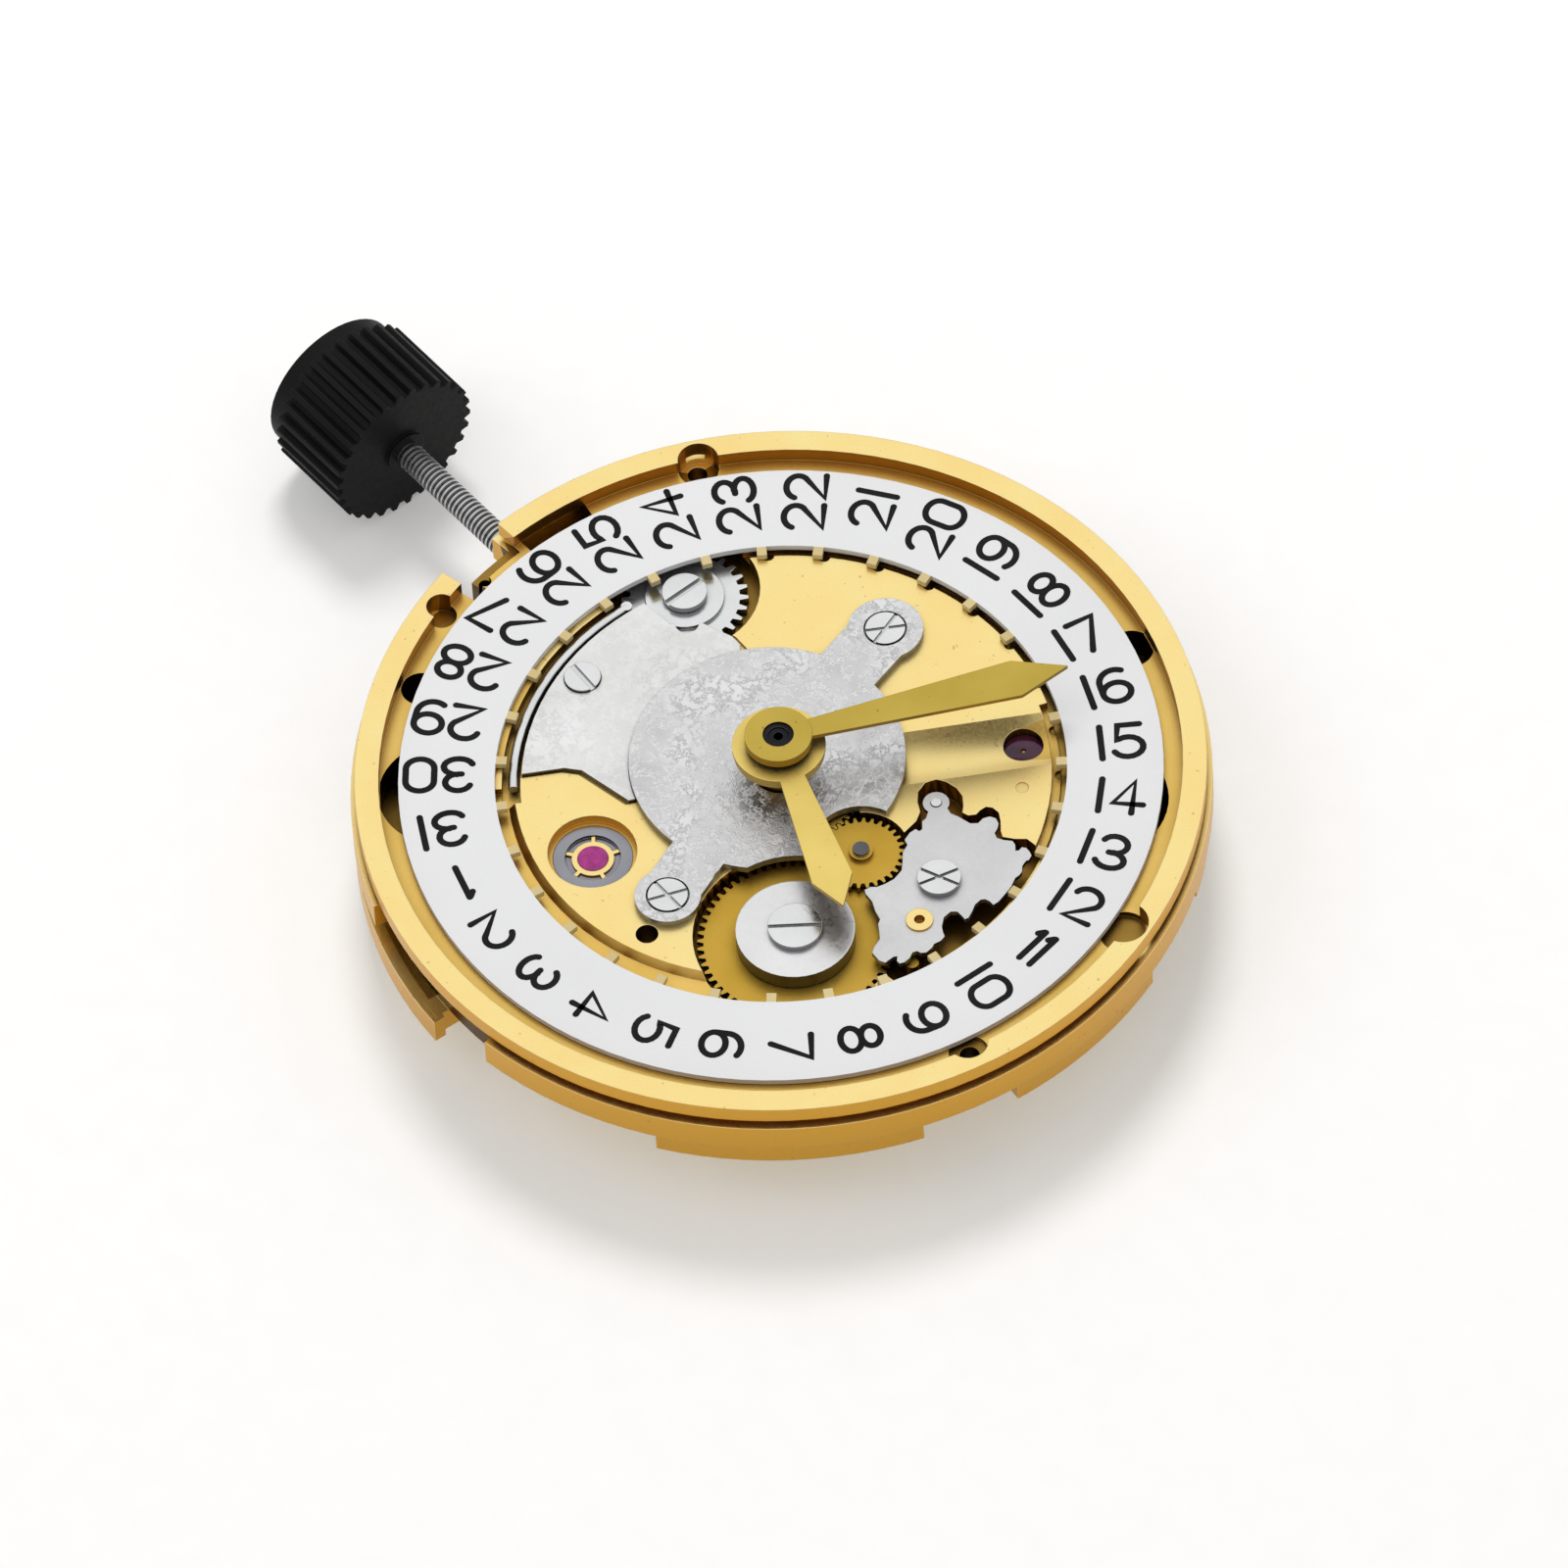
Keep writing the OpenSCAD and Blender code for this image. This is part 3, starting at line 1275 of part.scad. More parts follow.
// Keyless work
module along_stem(x) {
    translate([x, 0, stem_z]) rotate([0, 90, 0]) children();
}

module winding_stem() {
    color(steel) {
        along_stem(stem_in_x) cylinder(r = stem_square / 2 - 0.03, h = square_x + 0.05 - stem_in_x);
        translate([square_x, -stem_square / 2, stem_z - stem_square / 2]) {
            cube([winding_x[0] - square_x, stem_square, stem_square]);
        }
        along_stem(winding_x[0]) cylinder(r = 0.38, h = lever_groove[0] - winding_x[0]);
        along_stem(lever_groove[0]) cylinder(r = 0.25, h = lever_groove[1] - lever_groove[0]);
        along_stem(lever_groove[1]) cylinder(r = stem_r, h = rim_r + 0.6 - lever_groove[1]);
        // Threaded shank with its crests
        along_stem(rim_r + 0.6) cylinder(r = stem_r - 0.05, h = crown_x + 1.2 - rim_r - 0.6);
        for (x = [rim_r + 0.7 : 0.18 : crown_x - 0.2]) {
            along_stem(x) cylinder(r = stem_r, h = 0.09);
        }
    }
}

module crown() {
    color([0.06, 0.06, 0.065]) difference() {
        union() {
            along_stem(crown_x + 0.12) linear_extrude(crown_len - 0.72) {
                polygon([for (i = [0 : crown_ridges - 1]) each [
                    polar(crown_r - 0.22, (i - 0.32) * 360 / crown_ridges),
                    polar(crown_r, (i - 0.14) * 360 / crown_ridges),
                    polar(crown_r, (i + 0.14) * 360 / crown_ridges),
                    polar(crown_r - 0.22, (i + 0.32) * 360 / crown_ridges)]]);
            }
            along_stem(crown_x + crown_len - 0.6) cylinder(r = crown_r - 0.25, h = 0.6);
            along_stem(crown_x) cylinder(r = 0.68, h = 0.4);
        }
        along_stem(crown_x - 1) cylinder(r = stem_r - 0.05 + fit_gap, h = 2.25);
    }
}

module stem_pinion(x, r, pinion_teeth, bore) {
    difference() {
        along_stem(x[0]) linear_extrude(x[1] - x[0]) {
            polygon([for (i = [0 : pinion_teeth - 1]) each [
                polar(r - 0.15, (i - 0.3) * 360 / pinion_teeth),
                polar(r, (i - 0.13) * 360 / pinion_teeth),
                polar(r, (i + 0.13) * 360 / pinion_teeth),
                polar(r - 0.15, (i + 0.3) * 360 / pinion_teeth)]]);
        }
        if (bore > 0) {
            along_stem(x[0] - 1) cylinder(r = bore, h = 4);
        }
    }
}

module sliding_pinion() {
    color(steel) difference() {
        stem_pinion(sliding_x, pinion_r, sliding_z, 0);
        translate([sliding_x[0] - 1, -stem_square / 2 - run_gap, stem_z - stem_square / 2 - run_gap]) {
            cube([4, stem_square + 2 * run_gap, stem_square + 2 * run_gap]);
        }
        difference() {
            along_stem(yoke_groove[0]) cylinder(r = pinion_r + 1, h = yoke_groove[1] - yoke_groove[0]);
            along_stem(0) cylinder(r = yoke_groove_r, h = 20);
        }
    }
}

module winding_pinion() {
    color(steel) stem_pinion(winding_x, winding_pinion_r, winding_z, 0.38 + run_gap);
}

module setting_lever() {
    color(steel) {
        slab(lever_bot, lever_top) {
            bar(setting_pivot, [9.46, 0.1], 0.55);
            bar(setting_pivot, setting_pivot + [0.5, -0.7], 0.4);
        }
        at(setting_pivot) disc(0.2, keyless_z - 0.28, lever_bot);
        at([9.46, 0.1]) disc(lever_pin_r, stem_z + 0.28, lever_bot);
    }
}

module yoke() {
    color(steel) {
        slab(lever_bot, lever_top) {
            bar(yoke_pivot, [6.3, 1.6], 0.45);
            bar([6.3, 1.6], yoke_pin, 0.36);
        }
        at(yoke_pin) disc(yoke_pin_r, stem_z + yoke_groove_r + 0.04, lever_bot);
        at(yoke_pivot) disc(0.2, keyless_z - 0.28, lever_bot);
    }
}

// Automatic winding
module rotor() {
    color([0.8, 0.8, 0.8]) {
        slab(rotor_bot, rotor_top) difference() {
            union() {
                rotate(rotor_angle) intersection() {
                    circle(rotor_r - 0.3, $fn = 128);
                    wedge(rotor_r, -rotor_span / 2 + 1, rotor_span / 2 - 1);
                }
                circle(2.6);
            }
            circle(rotor_bore_r + 0.1);
            rotate(rotor_angle) for (a = [-52, 52]) {
                rotate(a) ring_part(rotor_r - rotor_weight_w - 1.1, rotor_r - rotor_weight_w - 5.3, -24, 24);
            }
        }
        slab(-total_d, rotor_bot + 0.05) rotate(rotor_angle) {
            ring_part(rotor_r, rotor_r - rotor_weight_w, -rotor_span / 2, rotor_span / 2);
        }
        slab(rotor_bot, reverser_top) rotate(rotor_angle) {
            ring_part(rotor_r, rotor_r - 1.4, -rotor_span / 2, rotor_span / 2);
        }
    }
    color(steel) difference() {
        union() {
            slab(rotor_top - 0.01, reverser_top) gear_outline(rotor_z, reverser_m, 0);
            disc(rotor_hub_r, rotor_bot - 0.1, reverser_top - 0.01);
        }
        disc(rotor_bore_r, -9, 1);
    }
}

module rotor_bearing() {
    ball_z = (rotor_bot - 0.1 + reverser_top) / 2;
    color(steel) {
        disc(rotor_post_r, rotor_bot - 0.2, auto_bridge_bot);
        disc(0.5, auto_bridge_bot - 0.02, auto_bridge_top - 0.02);
        difference() {
            disc(1.0, rotor_bot - 0.34, rotor_bot - 0.18);
            translate([-2, -0.12, rotor_bot - 1.27]) cube([4, 0.24, 1]);
        }
        for (i = [0 : 6]) {
            rotate(i * 360 / 7) translate([race_r, 0, ball_z]) sphere(ball_r, $fn = 24);
        }
    }
}

module reversing_wheel_1() {
    color(steel) at(reverser_a_pos) {
        slab(reverser_bot, reverser_top) gear_outline(reversing_z, reverser_m, reverser_a_phase);
        disc(0.35, reverser_top - 0.01, auto_bridge_top - 0.03);
    }
}

module reversing_wheel_2() {
    color(steel) at(reverser_b_pos) difference() {
        slab(reverser_bot, reverser_top) gear_outline(reversing_z, reverser_m, reverser_b_phase);
        disc(0.2 + run_gap, -9, 1);
    }
}

module reversing_pinion() {
    color(dark_steel) at(reverser_b_pos) {
        disc(0.2, reverser_bot + 0.02, auto_bridge_bot);
        disc(0.35, auto_bridge_bot, auto_bridge_top + 0.03);
        slab(auto_bridge_top + 0.03, auto_bridge_top + 0.13) {
            gear_outline(reversing_pinion_z, reverser_m, reverser_pinion_phase);
        }
    }
}

module reduction_wheel() {
    reduction_top = auto_bridge_top + 0.13;
    at(reduction_pos) {
        color(brass) slab(auto_bridge_top + 0.03, reduction_top) {
            wheel_outline(reduction_z, reverser_m, 0, 0.3, 0.6, 5, 0.25, 0);
        }
        color(steel) {
            slab(ratchet_bot, ratchet_top) gear_outline(reduction_pinion_z, ratchet_m, reduction_phase);
            disc(0.25, reduction_top - 0.02, platform_z - 0.75);
            disc(pivot_r, auto_bridge_bot + 0.05, platform_z - 0.5);
        }
    }
}

module ratchet_driving_gear() {
    color(steel) at(driver_pos) slab(ratchet_bot, ratchet_top) difference() {
        gear_outline(driver_z, ratchet_m, driver_phase);
        circle(0.5 + run_gap);
    }
}

module automatic_bridge() {
    color([0.84, 0.82, 0.76]) difference() {
        union() {
            slab(auto_bridge_bot, auto_bridge_top) {
                circle(3.1);
                polygon([[1.5, 2.4], [5.2, 0.4], [9.9, -5.2], [9.5, -7.3], [5.2, -9.6], [-0.4, -10.3],
                    [-6.6, -8.6], [-9.5, -3.8], [-8.3, -2.4], [-5.0, -1.6], [-2.6, 1.6]]);
            }
            at(auto_feet[0]) disc(auto_foot_r, auto_bridge_top - 0.1, barrel_bridge_bot);
            at(auto_feet[1]) disc(auto_foot_r, auto_bridge_top - 0.1, barrel_bridge_bot);
            at(auto_feet[2]) disc(0.8, auto_bridge_top - 0.1, train_bridge_bot);
        }
        disc(0.5 + fit_gap, -9, 1);
        at(reverser_a_pos) disc(0.35 + run_gap, -9, 1);
        at(reverser_b_pos) disc(0.35 + run_gap, -9, 1);
        at(reduction_pos) disc(pivot_r + run_gap, -9, 1);
        for (p = auto_feet) {
            at(p) disc(0.22 + fit_gap, -9, 1);
            at(p) disc(0.45 + fit_gap, -9, auto_bridge_bot + 0.13);
        }
    }
}

main_plate();
date_ring();
date_keeper_plate();
keyless_cover();
yoke_spring();
dial_side_screws();
setting_wheel();
intermediate_setting_wheel();
intermediate_date_wheel();
date_driving_wheel();
date_wheel_washer();
date_jumper_plate();
date_jumper();
jumper_eyelet();
shock_blocks();
shock_springs();
bearing_jewels();
hour_wheel();
hour_hand();
cannon_pinion();
minute_hand();
minute_wheel();
driving_wheel();
seconds_wheel();
third_wheel();
great_wheel();
escape_wheel();
pallet_fork();
pallet_stones();
balance_wheel();
balance_roller();
hairspring();
balance_cock();
regulator();
barrel_drum();
barrel_cover();
mainspring();
barrel_arbor();
ratchet_wheel();
ratchet_screw();
crown_wheel();
click();
barrel_bridge();
train_bridge();
pallet_bridge();
bridge_screws();
winding_stem();
crown();
sliding_pinion();
winding_pinion();
setting_lever();
yoke();
rotor();
rotor_bearing();
reversing_wheel_1();
reversing_wheel_2();
reversing_pinion();
reduction_wheel();
ratchet_driving_gear();
automatic_bridge();
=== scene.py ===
import bpy
import json
import math
from mathutils import Matrix, Vector


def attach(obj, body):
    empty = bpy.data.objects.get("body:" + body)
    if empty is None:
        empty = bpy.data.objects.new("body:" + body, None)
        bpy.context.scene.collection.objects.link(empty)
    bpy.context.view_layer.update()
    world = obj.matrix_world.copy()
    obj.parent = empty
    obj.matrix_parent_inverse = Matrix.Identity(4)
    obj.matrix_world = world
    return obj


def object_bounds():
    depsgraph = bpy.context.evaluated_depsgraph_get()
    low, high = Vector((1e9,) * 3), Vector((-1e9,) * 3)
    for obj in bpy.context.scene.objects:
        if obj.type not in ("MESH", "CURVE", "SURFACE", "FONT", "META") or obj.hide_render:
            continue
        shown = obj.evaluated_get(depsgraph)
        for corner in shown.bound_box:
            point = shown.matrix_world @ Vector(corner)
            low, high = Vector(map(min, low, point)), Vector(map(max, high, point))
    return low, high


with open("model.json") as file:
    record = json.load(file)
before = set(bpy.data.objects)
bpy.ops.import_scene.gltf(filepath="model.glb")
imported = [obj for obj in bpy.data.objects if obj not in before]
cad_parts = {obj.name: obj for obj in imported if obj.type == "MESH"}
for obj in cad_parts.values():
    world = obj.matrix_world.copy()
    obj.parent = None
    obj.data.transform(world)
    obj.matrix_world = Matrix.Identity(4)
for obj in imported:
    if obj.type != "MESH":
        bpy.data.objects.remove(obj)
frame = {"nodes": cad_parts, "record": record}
cad_box = [list(map(float, v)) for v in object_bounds()]
nodes = frame["nodes"]
MM = 0.001
scene = bpy.context.scene
scene.view_settings.view_transform = "Standard"

# ---------------------------------------------------------------- camera
CAM_ELEVATION = math.radians(52.7)
CAM_ROLL = math.radians(-3.95)
CAM_DISTANCE = 0.6
target = Vector((-0.591, 0.344, 0.0)) * MM
right = Vector((-0.5926, -0.8055, 0.0)).normalized()
away = Vector((0.8055, -0.5926, 0.0)).normalized()
back = (-math.cos(CAM_ELEVATION) * away + math.sin(CAM_ELEVATION) * Vector((0, 0, 1))).normalized()
up = back.cross(right)
cam_x = math.cos(CAM_ROLL) * right + math.sin(CAM_ROLL) * up
cam_y = back.cross(cam_x)
cam_data = bpy.data.cameras.new("camera")
cam_data.lens = 459.5
cam_data.sensor_width = 36.0
cam_data.clip_start = 0.01
cam_data.clip_end = 10.0
cam = bpy.data.objects.new("camera", cam_data)
scene.collection.objects.link(cam)
cam_turn = Matrix((cam_x, cam_y, back)).transposed().to_4x4()
cam.matrix_world = Matrix.Translation(target + back * CAM_DISTANCE) @ cam_turn
scene.camera = cam


# ---------------------------------------------------------------- node trees
class Nodes:
    """A node tree with short calls to add, set and link its nodes."""

    def __init__(self, tree):
        self.t = tree
        tree.nodes.clear()

    def add(self, kind, **values):
        """A new node. Each value goes to the input of that name, or else to the node's setting."""
        n = self.t.nodes.new(kind)
        for k, v in values.items():
            if k in n.inputs:
                n.inputs[k].default_value = v
            else:
                setattr(n, k, v)
        return n

    def link(self, a, b):
        self.t.links.new(a, b)

    def feed(self, n, places, values):
        """Numbers and colours are set on the inputs, and sockets are linked to them."""
        for i, v in zip(places, values):
            if isinstance(v, (int, float)):
                n.inputs[i].default_value = v
            elif isinstance(v, tuple):
                n.inputs[i].default_value = (*v, 1)
            else:
                self.link(v, n.inputs[i])

    def math(self, op, *values, clamp=False):
        n = self.add("ShaderNodeMath", operation=op, use_clamp=clamp)
        self.feed(n, range(len(values)), values)
        return n.outputs[0]

    def map_range(self, fac, limits):
        """A value carried over from limits 0 and 1 to limits 2 and 3."""
        n = self.add("ShaderNodeMapRange")
        self.feed(n, range(5), (fac, *limits))
        return n.outputs[0]

    def split(self, vector):
        n = self.add("ShaderNodeSeparateXYZ")
        self.link(vector, n.inputs[0])
        return n.outputs


class Tree(Nodes):
    """A material with a Principled shader."""

    def __init__(self, name):
        self.mat = bpy.data.materials.new(name)
        self.mat.use_nodes = True
        super().__init__(self.mat.node_tree)
        self.out = self.add("ShaderNodeOutputMaterial")
        self.b = self.add("ShaderNodeBsdfPrincipled")
        self.link(self.b.outputs[0], self.out.inputs["Surface"])
        self.co = self.add("ShaderNodeTexCoord").outputs["Object"]

    def noise(self, scale, detail=3.0, rough=0.55, vec=None, output="Fac"):
        n = self.add("ShaderNodeTexNoise", Scale=scale, Detail=detail, Roughness=rough)
        self.link(vec or self.co, n.inputs["Vector"])
        return n.outputs[output]

    def ramp(self, fac, stops):
        r = self.add("ShaderNodeValToRGB")
        for el, (p, c) in zip(r.color_ramp.elements, stops):
            el.position = p
            el.color = (*c, 1)
        self.link(fac, r.inputs[0])
        return r.outputs[0]

    def grey(self, fac, p0, v0, p1, v1):
        return self.ramp(fac, [(p0, (v0,) * 3), (p1, (v1,) * 3)])

    def mix(self, fac, a, b, blend="MIX"):
        n = self.add("ShaderNodeMix", data_type="RGBA", blend_type=blend)
        self.feed(n, (0, 6, 7), (fac, a, b))
        return n.outputs[2]

    def edge(self, radius, gain=5.0):
        """Normal rounded at the edges, and a mask that is 1 on them."""
        bev = self.add("ShaderNodeBevel", samples=6, Radius=radius * MM)
        geo = self.add("ShaderNodeNewGeometry")
        dot = self.add("ShaderNodeVectorMath", operation="DOT_PRODUCT")
        self.link(bev.outputs[0], dot.inputs[0])
        self.link(geo.outputs["Normal"], dot.inputs[1])
        lost = self.math("SUBTRACT", 1.0, dot.outputs["Value"])
        return bev.outputs[0], self.math("MULTIPLY", lost, gain, clamp=True)

    def bump(self, height, strength, dist, normal):
        n = self.add("ShaderNodeBump", Strength=strength, Distance=dist * MM)
        self.link(height, n.inputs["Height"])
        self.link(normal, n.inputs["Normal"])
        return n.outputs[0]

    def crease(self, scale, middle, warped):
        """Thin lines where a warped noise passes its middle."""
        off = self.math("SUBTRACT", self.noise(scale, 5.0, 0.7, warped), middle)
        return self.grey(self.math("ABSOLUTE", off), 0.0, 1.0, 0.05, 0.0)

    def mottled(self, base, fine, scale, amount, warp):
        """Patches with dark and light creases, as on chemically frosted steel. Gives colour and height."""
        twist = self.add("ShaderNodeVectorMath", operation="MULTIPLY_ADD")
        self.link(self.noise(scale * 0.6, 3.0, 0.6, output="Color"), twist.inputs[0])
        twist.inputs[1].default_value = (warp * MM,) * 3
        self.link(self.co, twist.inputs[2])
        warped = twist.outputs[0]
        patch = self.noise(scale * 0.32, 3.0, 0.6)
        dark = self.math("MULTIPLY", self.crease(scale * 1.7, 0.5, warped),
                         self.grey(patch, 0.44, 0.0, 0.56, 1.0))
        light = self.math("MULTIPLY", self.crease(scale * 2.0, 0.46, warped),
                          self.grey(patch, 0.42, 1.0, 0.58, 0.2))
        base = self.mix(amount, base, self.grey(patch, 0.36, 0.78, 0.6, 1.0), "MULTIPLY")
        base = self.mix(self.math("MULTIPLY", dark, amount), base, (0.44, 0.44, 0.45))
        base = self.mix(self.math("MULTIPLY", light, amount), base, (1.0, 1.0, 1.0))
        raised = self.math("ADD", fine, self.math("MULTIPLY", light, 1.2))
        return base, self.math("SUBTRACT", raised, dark)

    def thread(self, base, height, pitch, start):
        """Stripes along X beyond a start, in mm: painted shade, and a lower height, between the turns of a
        thread.
        """
        x = self.split(self.co)["X"]
        wave = self.math("SINE", self.math("MULTIPLY", x, -math.tau / (pitch * MM)))
        wave = self.math("MULTIPLY_ADD", wave, 0.5, 0.5)
        cut = self.math("MULTIPLY", wave, self.math("GREATER_THAN", x, start * MM))
        return self.mix(cut, base, THREAD_SHADE), self.math("SUBTRACT", height, self.math("MULTIPLY", cut, 6.0))

    def scratches(self, normal, strength):
        """Two sets of fine crossing lines."""
        for angle in (0.5, -0.62):
            m = self.add("ShaderNodeMapping", Rotation=(0.0, 0.0, angle), Scale=(260.0, 5200.0, 400.0))
            self.link(self.co, m.inputs["Vector"])
            line = self.noise(1.0, 2.0, 0.5, m.outputs[0])
            normal = self.bump(self.grey(line, 0.62, 0.0, 0.70, 1.0), strength, 0.004, normal)
        return normal


# ---------------------------------------------------------------- materials
THREAD_SHADE = (0.02, 0.02, 0.022)
SPECK_COLOUR = (0.12, 0.10, 0.07)
# Reach, in mm, of the painted shade in nooks
NOOK_SHADE_REACH = 0.55


def metal(name, dark, light, rough=(0.25, 0.4), grain=9000.0, bump=0.25, depth=0.004, bevel=0.03, wear=None,
          metallic=1.0, wall_shade=None, mottle=None, scratch=0.0, speck=0.0, nook_shade=(0.10, 0.07, 0.04), thread=None):
    """Metal with a mottled colour, a fine grain, lighter worn edges, painted shade on steep walls and painted
    shade in nooks. Lengths are in mm.
    """
    t = Tree(name)
    nrm, mask = t.edge(bevel)
    fine = t.noise(grain, 4.0, 0.6)
    base = t.ramp(t.noise(400.0, 3.0, 0.5), [(0.3, dark), (0.7, light)])
    base = t.mix(0.14, base, t.grey(fine, 0.3, 0.6, 0.7, 1.0), "MULTIPLY")
    height = fine
    if mottle:
        base, height = t.mottled(base, fine, *mottle)
    # Painted shade: steep faces, such as walls and the sides of screws and washers, take a darker colour, as if
    # in shade.
    if wall_shade:
        flat = t.math("ABSOLUTE", t.split(t.add("ShaderNodeNewGeometry").outputs["True Normal"])["Z"])
        base = t.mix(t.grey(flat, 0.2, 1.0, 0.9, 0.0), base, wall_shade)
    if speck:
        dots = t.grey(t.noise(5200.0, 2.0, 0.5), 0.70, 0.0, 0.75, 1.0)
        base = t.mix(t.math("MULTIPLY", dots, speck), base, SPECK_COLOUR)
    if wear:
        base = t.mix(t.math("MULTIPLY", mask, 0.6), base, wear)
    if thread:
        base, height = t.thread(base, height, *thread)
    # Painted shade: darker colour where the ambient occlusion finds nearby faces, in nooks, recesses and under
    # neighbouring parts.
    if nook_shade:
        ao = t.add("ShaderNodeAmbientOcclusion", samples=5, Distance=NOOK_SHADE_REACH * MM)
        base = t.mix(t.grey(ao.outputs["AO"], 0.12, 1.0, 0.72, 0.0), base, nook_shade)
    t.link(base, t.b.inputs["Base Color"])
    t.link(t.map_range(fine, (0.3, 0.7, *rough)), t.b.inputs["Roughness"])
    t.b.inputs["Metallic"].default_value = metallic
    nrm = t.bump(height, bump, depth, nrm)
    if scratch:
        nrm = t.scratches(nrm, scratch)
    t.link(nrm, t.b.inputs["Normal"])
    return t.mat


gilt = metal("gilt_plate", (1.0, 0.75, 0.29), (1.0, 0.82, 0.35), (0.27, 0.38), 14000, bump=0.16,
             depth=0.003, bevel=0.035, wear=(1.0, 0.90, 0.58), wall_shade=(0.66, 0.36, 0.05), speck=0.35,
             nook_shade=(0.34, 0.17, 0.03))
# Painted shade: near-black brown gilt for the deepest recess floors of the plate.
pit_shade = metal("recess_floor_painted_shade", (0.26, 0.15, 0.03), (0.40, 0.24, 0.05), (0.3, 0.42), 14000, bump=0.2,
            depth=0.003, wear=(0.6, 0.38, 0.1), wall_shade=(0.10, 0.05, 0.01), nook_shade=(0.012, 0.006, 0.002))
# Painted shade: a darker gilt for the plate's sunk faces.
gilt_in_shade = metal("gilt_recess_painted_shade", (0.80, 0.52, 0.12), (0.90, 0.61, 0.17), (0.3, 0.42), 14000, bump=0.2,
                  depth=0.003, wear=(0.9, 0.62, 0.22), wall_shade=(0.36, 0.17, 0.025),
                  nook_shade=(0.05, 0.022, 0.005))
wheel_brass = metal("wheel_brass", (0.60, 0.37, 0.045), (0.71, 0.455, 0.08), (0.36, 0.5), 12000,
                    depth=0.003, bevel=0.02, wear=(0.9, 0.70, 0.27), wall_shade=(0.30, 0.17, 0.025),
                    nook_shade=(0.05, 0.025, 0.006))
minute_brass = metal("hand_brass", (0.56, 0.41, 0.07), (0.66, 0.49, 0.10), (0.42, 0.56), bump=0.3,
                     depth=0.003, wear=(0.76, 0.60, 0.2), wall_shade=(0.34, 0.22, 0.04), speck=0.5)
hour_brass = metal("hour_hand_brass", (0.80, 0.60, 0.16), (0.93, 0.72, 0.22), (0.38, 0.5), bump=0.3,
                   depth=0.003, wear=(0.97, 0.82, 0.36), wall_shade=(0.45, 0.30, 0.06), speck=0.4)
# Painted shade: a dark brass for the hands' undersides.
shade = metal("hand_underside_shade", (0.10, 0.07, 0.02), (0.14, 0.10, 0.03), (0.5, 0.6), bevel=0.02)
steel = metal("silver_steel", (0.70, 0.705, 0.71), (0.84, 0.845, 0.85), (0.14, 0.28), 11000,
              bump=0.15, depth=0.002, wear=(0.97, 0.97, 0.98), wall_shade=(0.24, 0.24, 0.25), scratch=0.35,
              nook_shade=(0.05, 0.05, 0.05))
frosted = metal("frosted_steel", (0.73, 0.73, 0.735), (0.84, 0.84, 0.845), (0.30, 0.44), 5200,
                bump=0.6, depth=0.012, wear=(0.97, 0.97, 0.97), mottle=(1300.0, 0.78, 0.5),
                wall_shade=(0.26, 0.26, 0.26), nook_shade=(0.06, 0.055, 0.045))
cover_steel = metal("cover_steel", (0.78, 0.775, 0.76), (0.91, 0.91, 0.905), (0.3, 0.44), 5200,
                    bump=0.35, depth=0.008, wear=(0.97, 0.97, 0.97), mottle=(1000.0, 0.36, 0.5),
                    wall_shade=(0.3, 0.3, 0.3), nook_shade=(0.06, 0.055, 0.045))
satin = metal("satin_steel", (0.67, 0.67, 0.68), (0.76, 0.76, 0.765), (0.34, 0.46), bump=0.3,
              wear=(0.92, 0.92, 0.92), mottle=(1100.0, 0.12, 0.4), wall_shade=(0.26, 0.26, 0.27),
              nook_shade=(0.05, 0.05, 0.05))
washer = metal("washer_steel", (0.78, 0.78, 0.785), (0.88, 0.88, 0.885), (0.26, 0.38), bump=0.2,
               depth=0.003, bevel=0.05, wear=(0.97, 0.97, 0.97), mottle=(700.0, 0.08, 0.4),
               wall_shade=(0.10, 0.09, 0.08), nook_shade=(0.06, 0.055, 0.05))
dark_steel = metal("dark_steel", (0.10, 0.10, 0.11), (0.17, 0.17, 0.18), (0.22, 0.36), 11000,
                   bump=0.2, depth=0.003, bevel=0.02, wear=(0.45, 0.45, 0.47))
block_steel = metal("shock_block_steel", (0.26, 0.26, 0.29), (0.38, 0.38, 0.42), (0.16, 0.28), 11000,
                    bump=0.15, depth=0.002, wear=(0.8, 0.8, 0.82), wall_shade=(0.12, 0.12, 0.13),
                    nook_shade=(0.02, 0.02, 0.02))
jet = metal("burnished_arbor", (0.012, 0.012, 0.014), (0.03, 0.03, 0.034), (0.16, 0.26), 11000,
            bump=0.15, depth=0.002, bevel=0.02, wear=(0.25, 0.25, 0.27), nook_shade=(0.004, 0.004, 0.004))
blued = metal("blued_spring", (0.25, 0.30, 0.42), (0.36, 0.42, 0.55), (0.2, 0.3), bump=0.1,
              depth=0.002, bevel=0.01, wear=(0.7, 0.75, 0.85))
nickel = metal("bridge_nickel", (0.62, 0.60, 0.54), (0.74, 0.72, 0.66), (0.26, 0.4), bevel=0.04,
               wear=(0.92, 0.91, 0.87))
threaded = metal("stem_steel", (0.42, 0.42, 0.43), (0.62, 0.62, 0.63), (0.24, 0.36), bump=0.2,
                 depth=0.003, bevel=0.02, wear=(0.9, 0.9, 0.91), thread=(0.18, 13.45), nook_shade=None)
ink = metal("date_ink", (0.006, 0.006, 0.007), (0.014, 0.014, 0.015), (0.4, 0.55), 16000, bump=0.2,
            depth=0.002, bevel=0.01, metallic=0.0, nook_shade=None)
black = metal("black_crown", (0.004, 0.004, 0.0045), (0.008, 0.008, 0.009), (0.4, 0.55), 7000,
              bump=0.5, depth=0.006, bevel=0.05, wear=(0.03, 0.03, 0.032), metallic=0.0, nook_shade=None)
for coat in (black, ink):
    coat.node_tree.nodes["Principled BSDF"].inputs["Specular IOR Level"].default_value = 0.1

TOOTH_END_R = 8.595


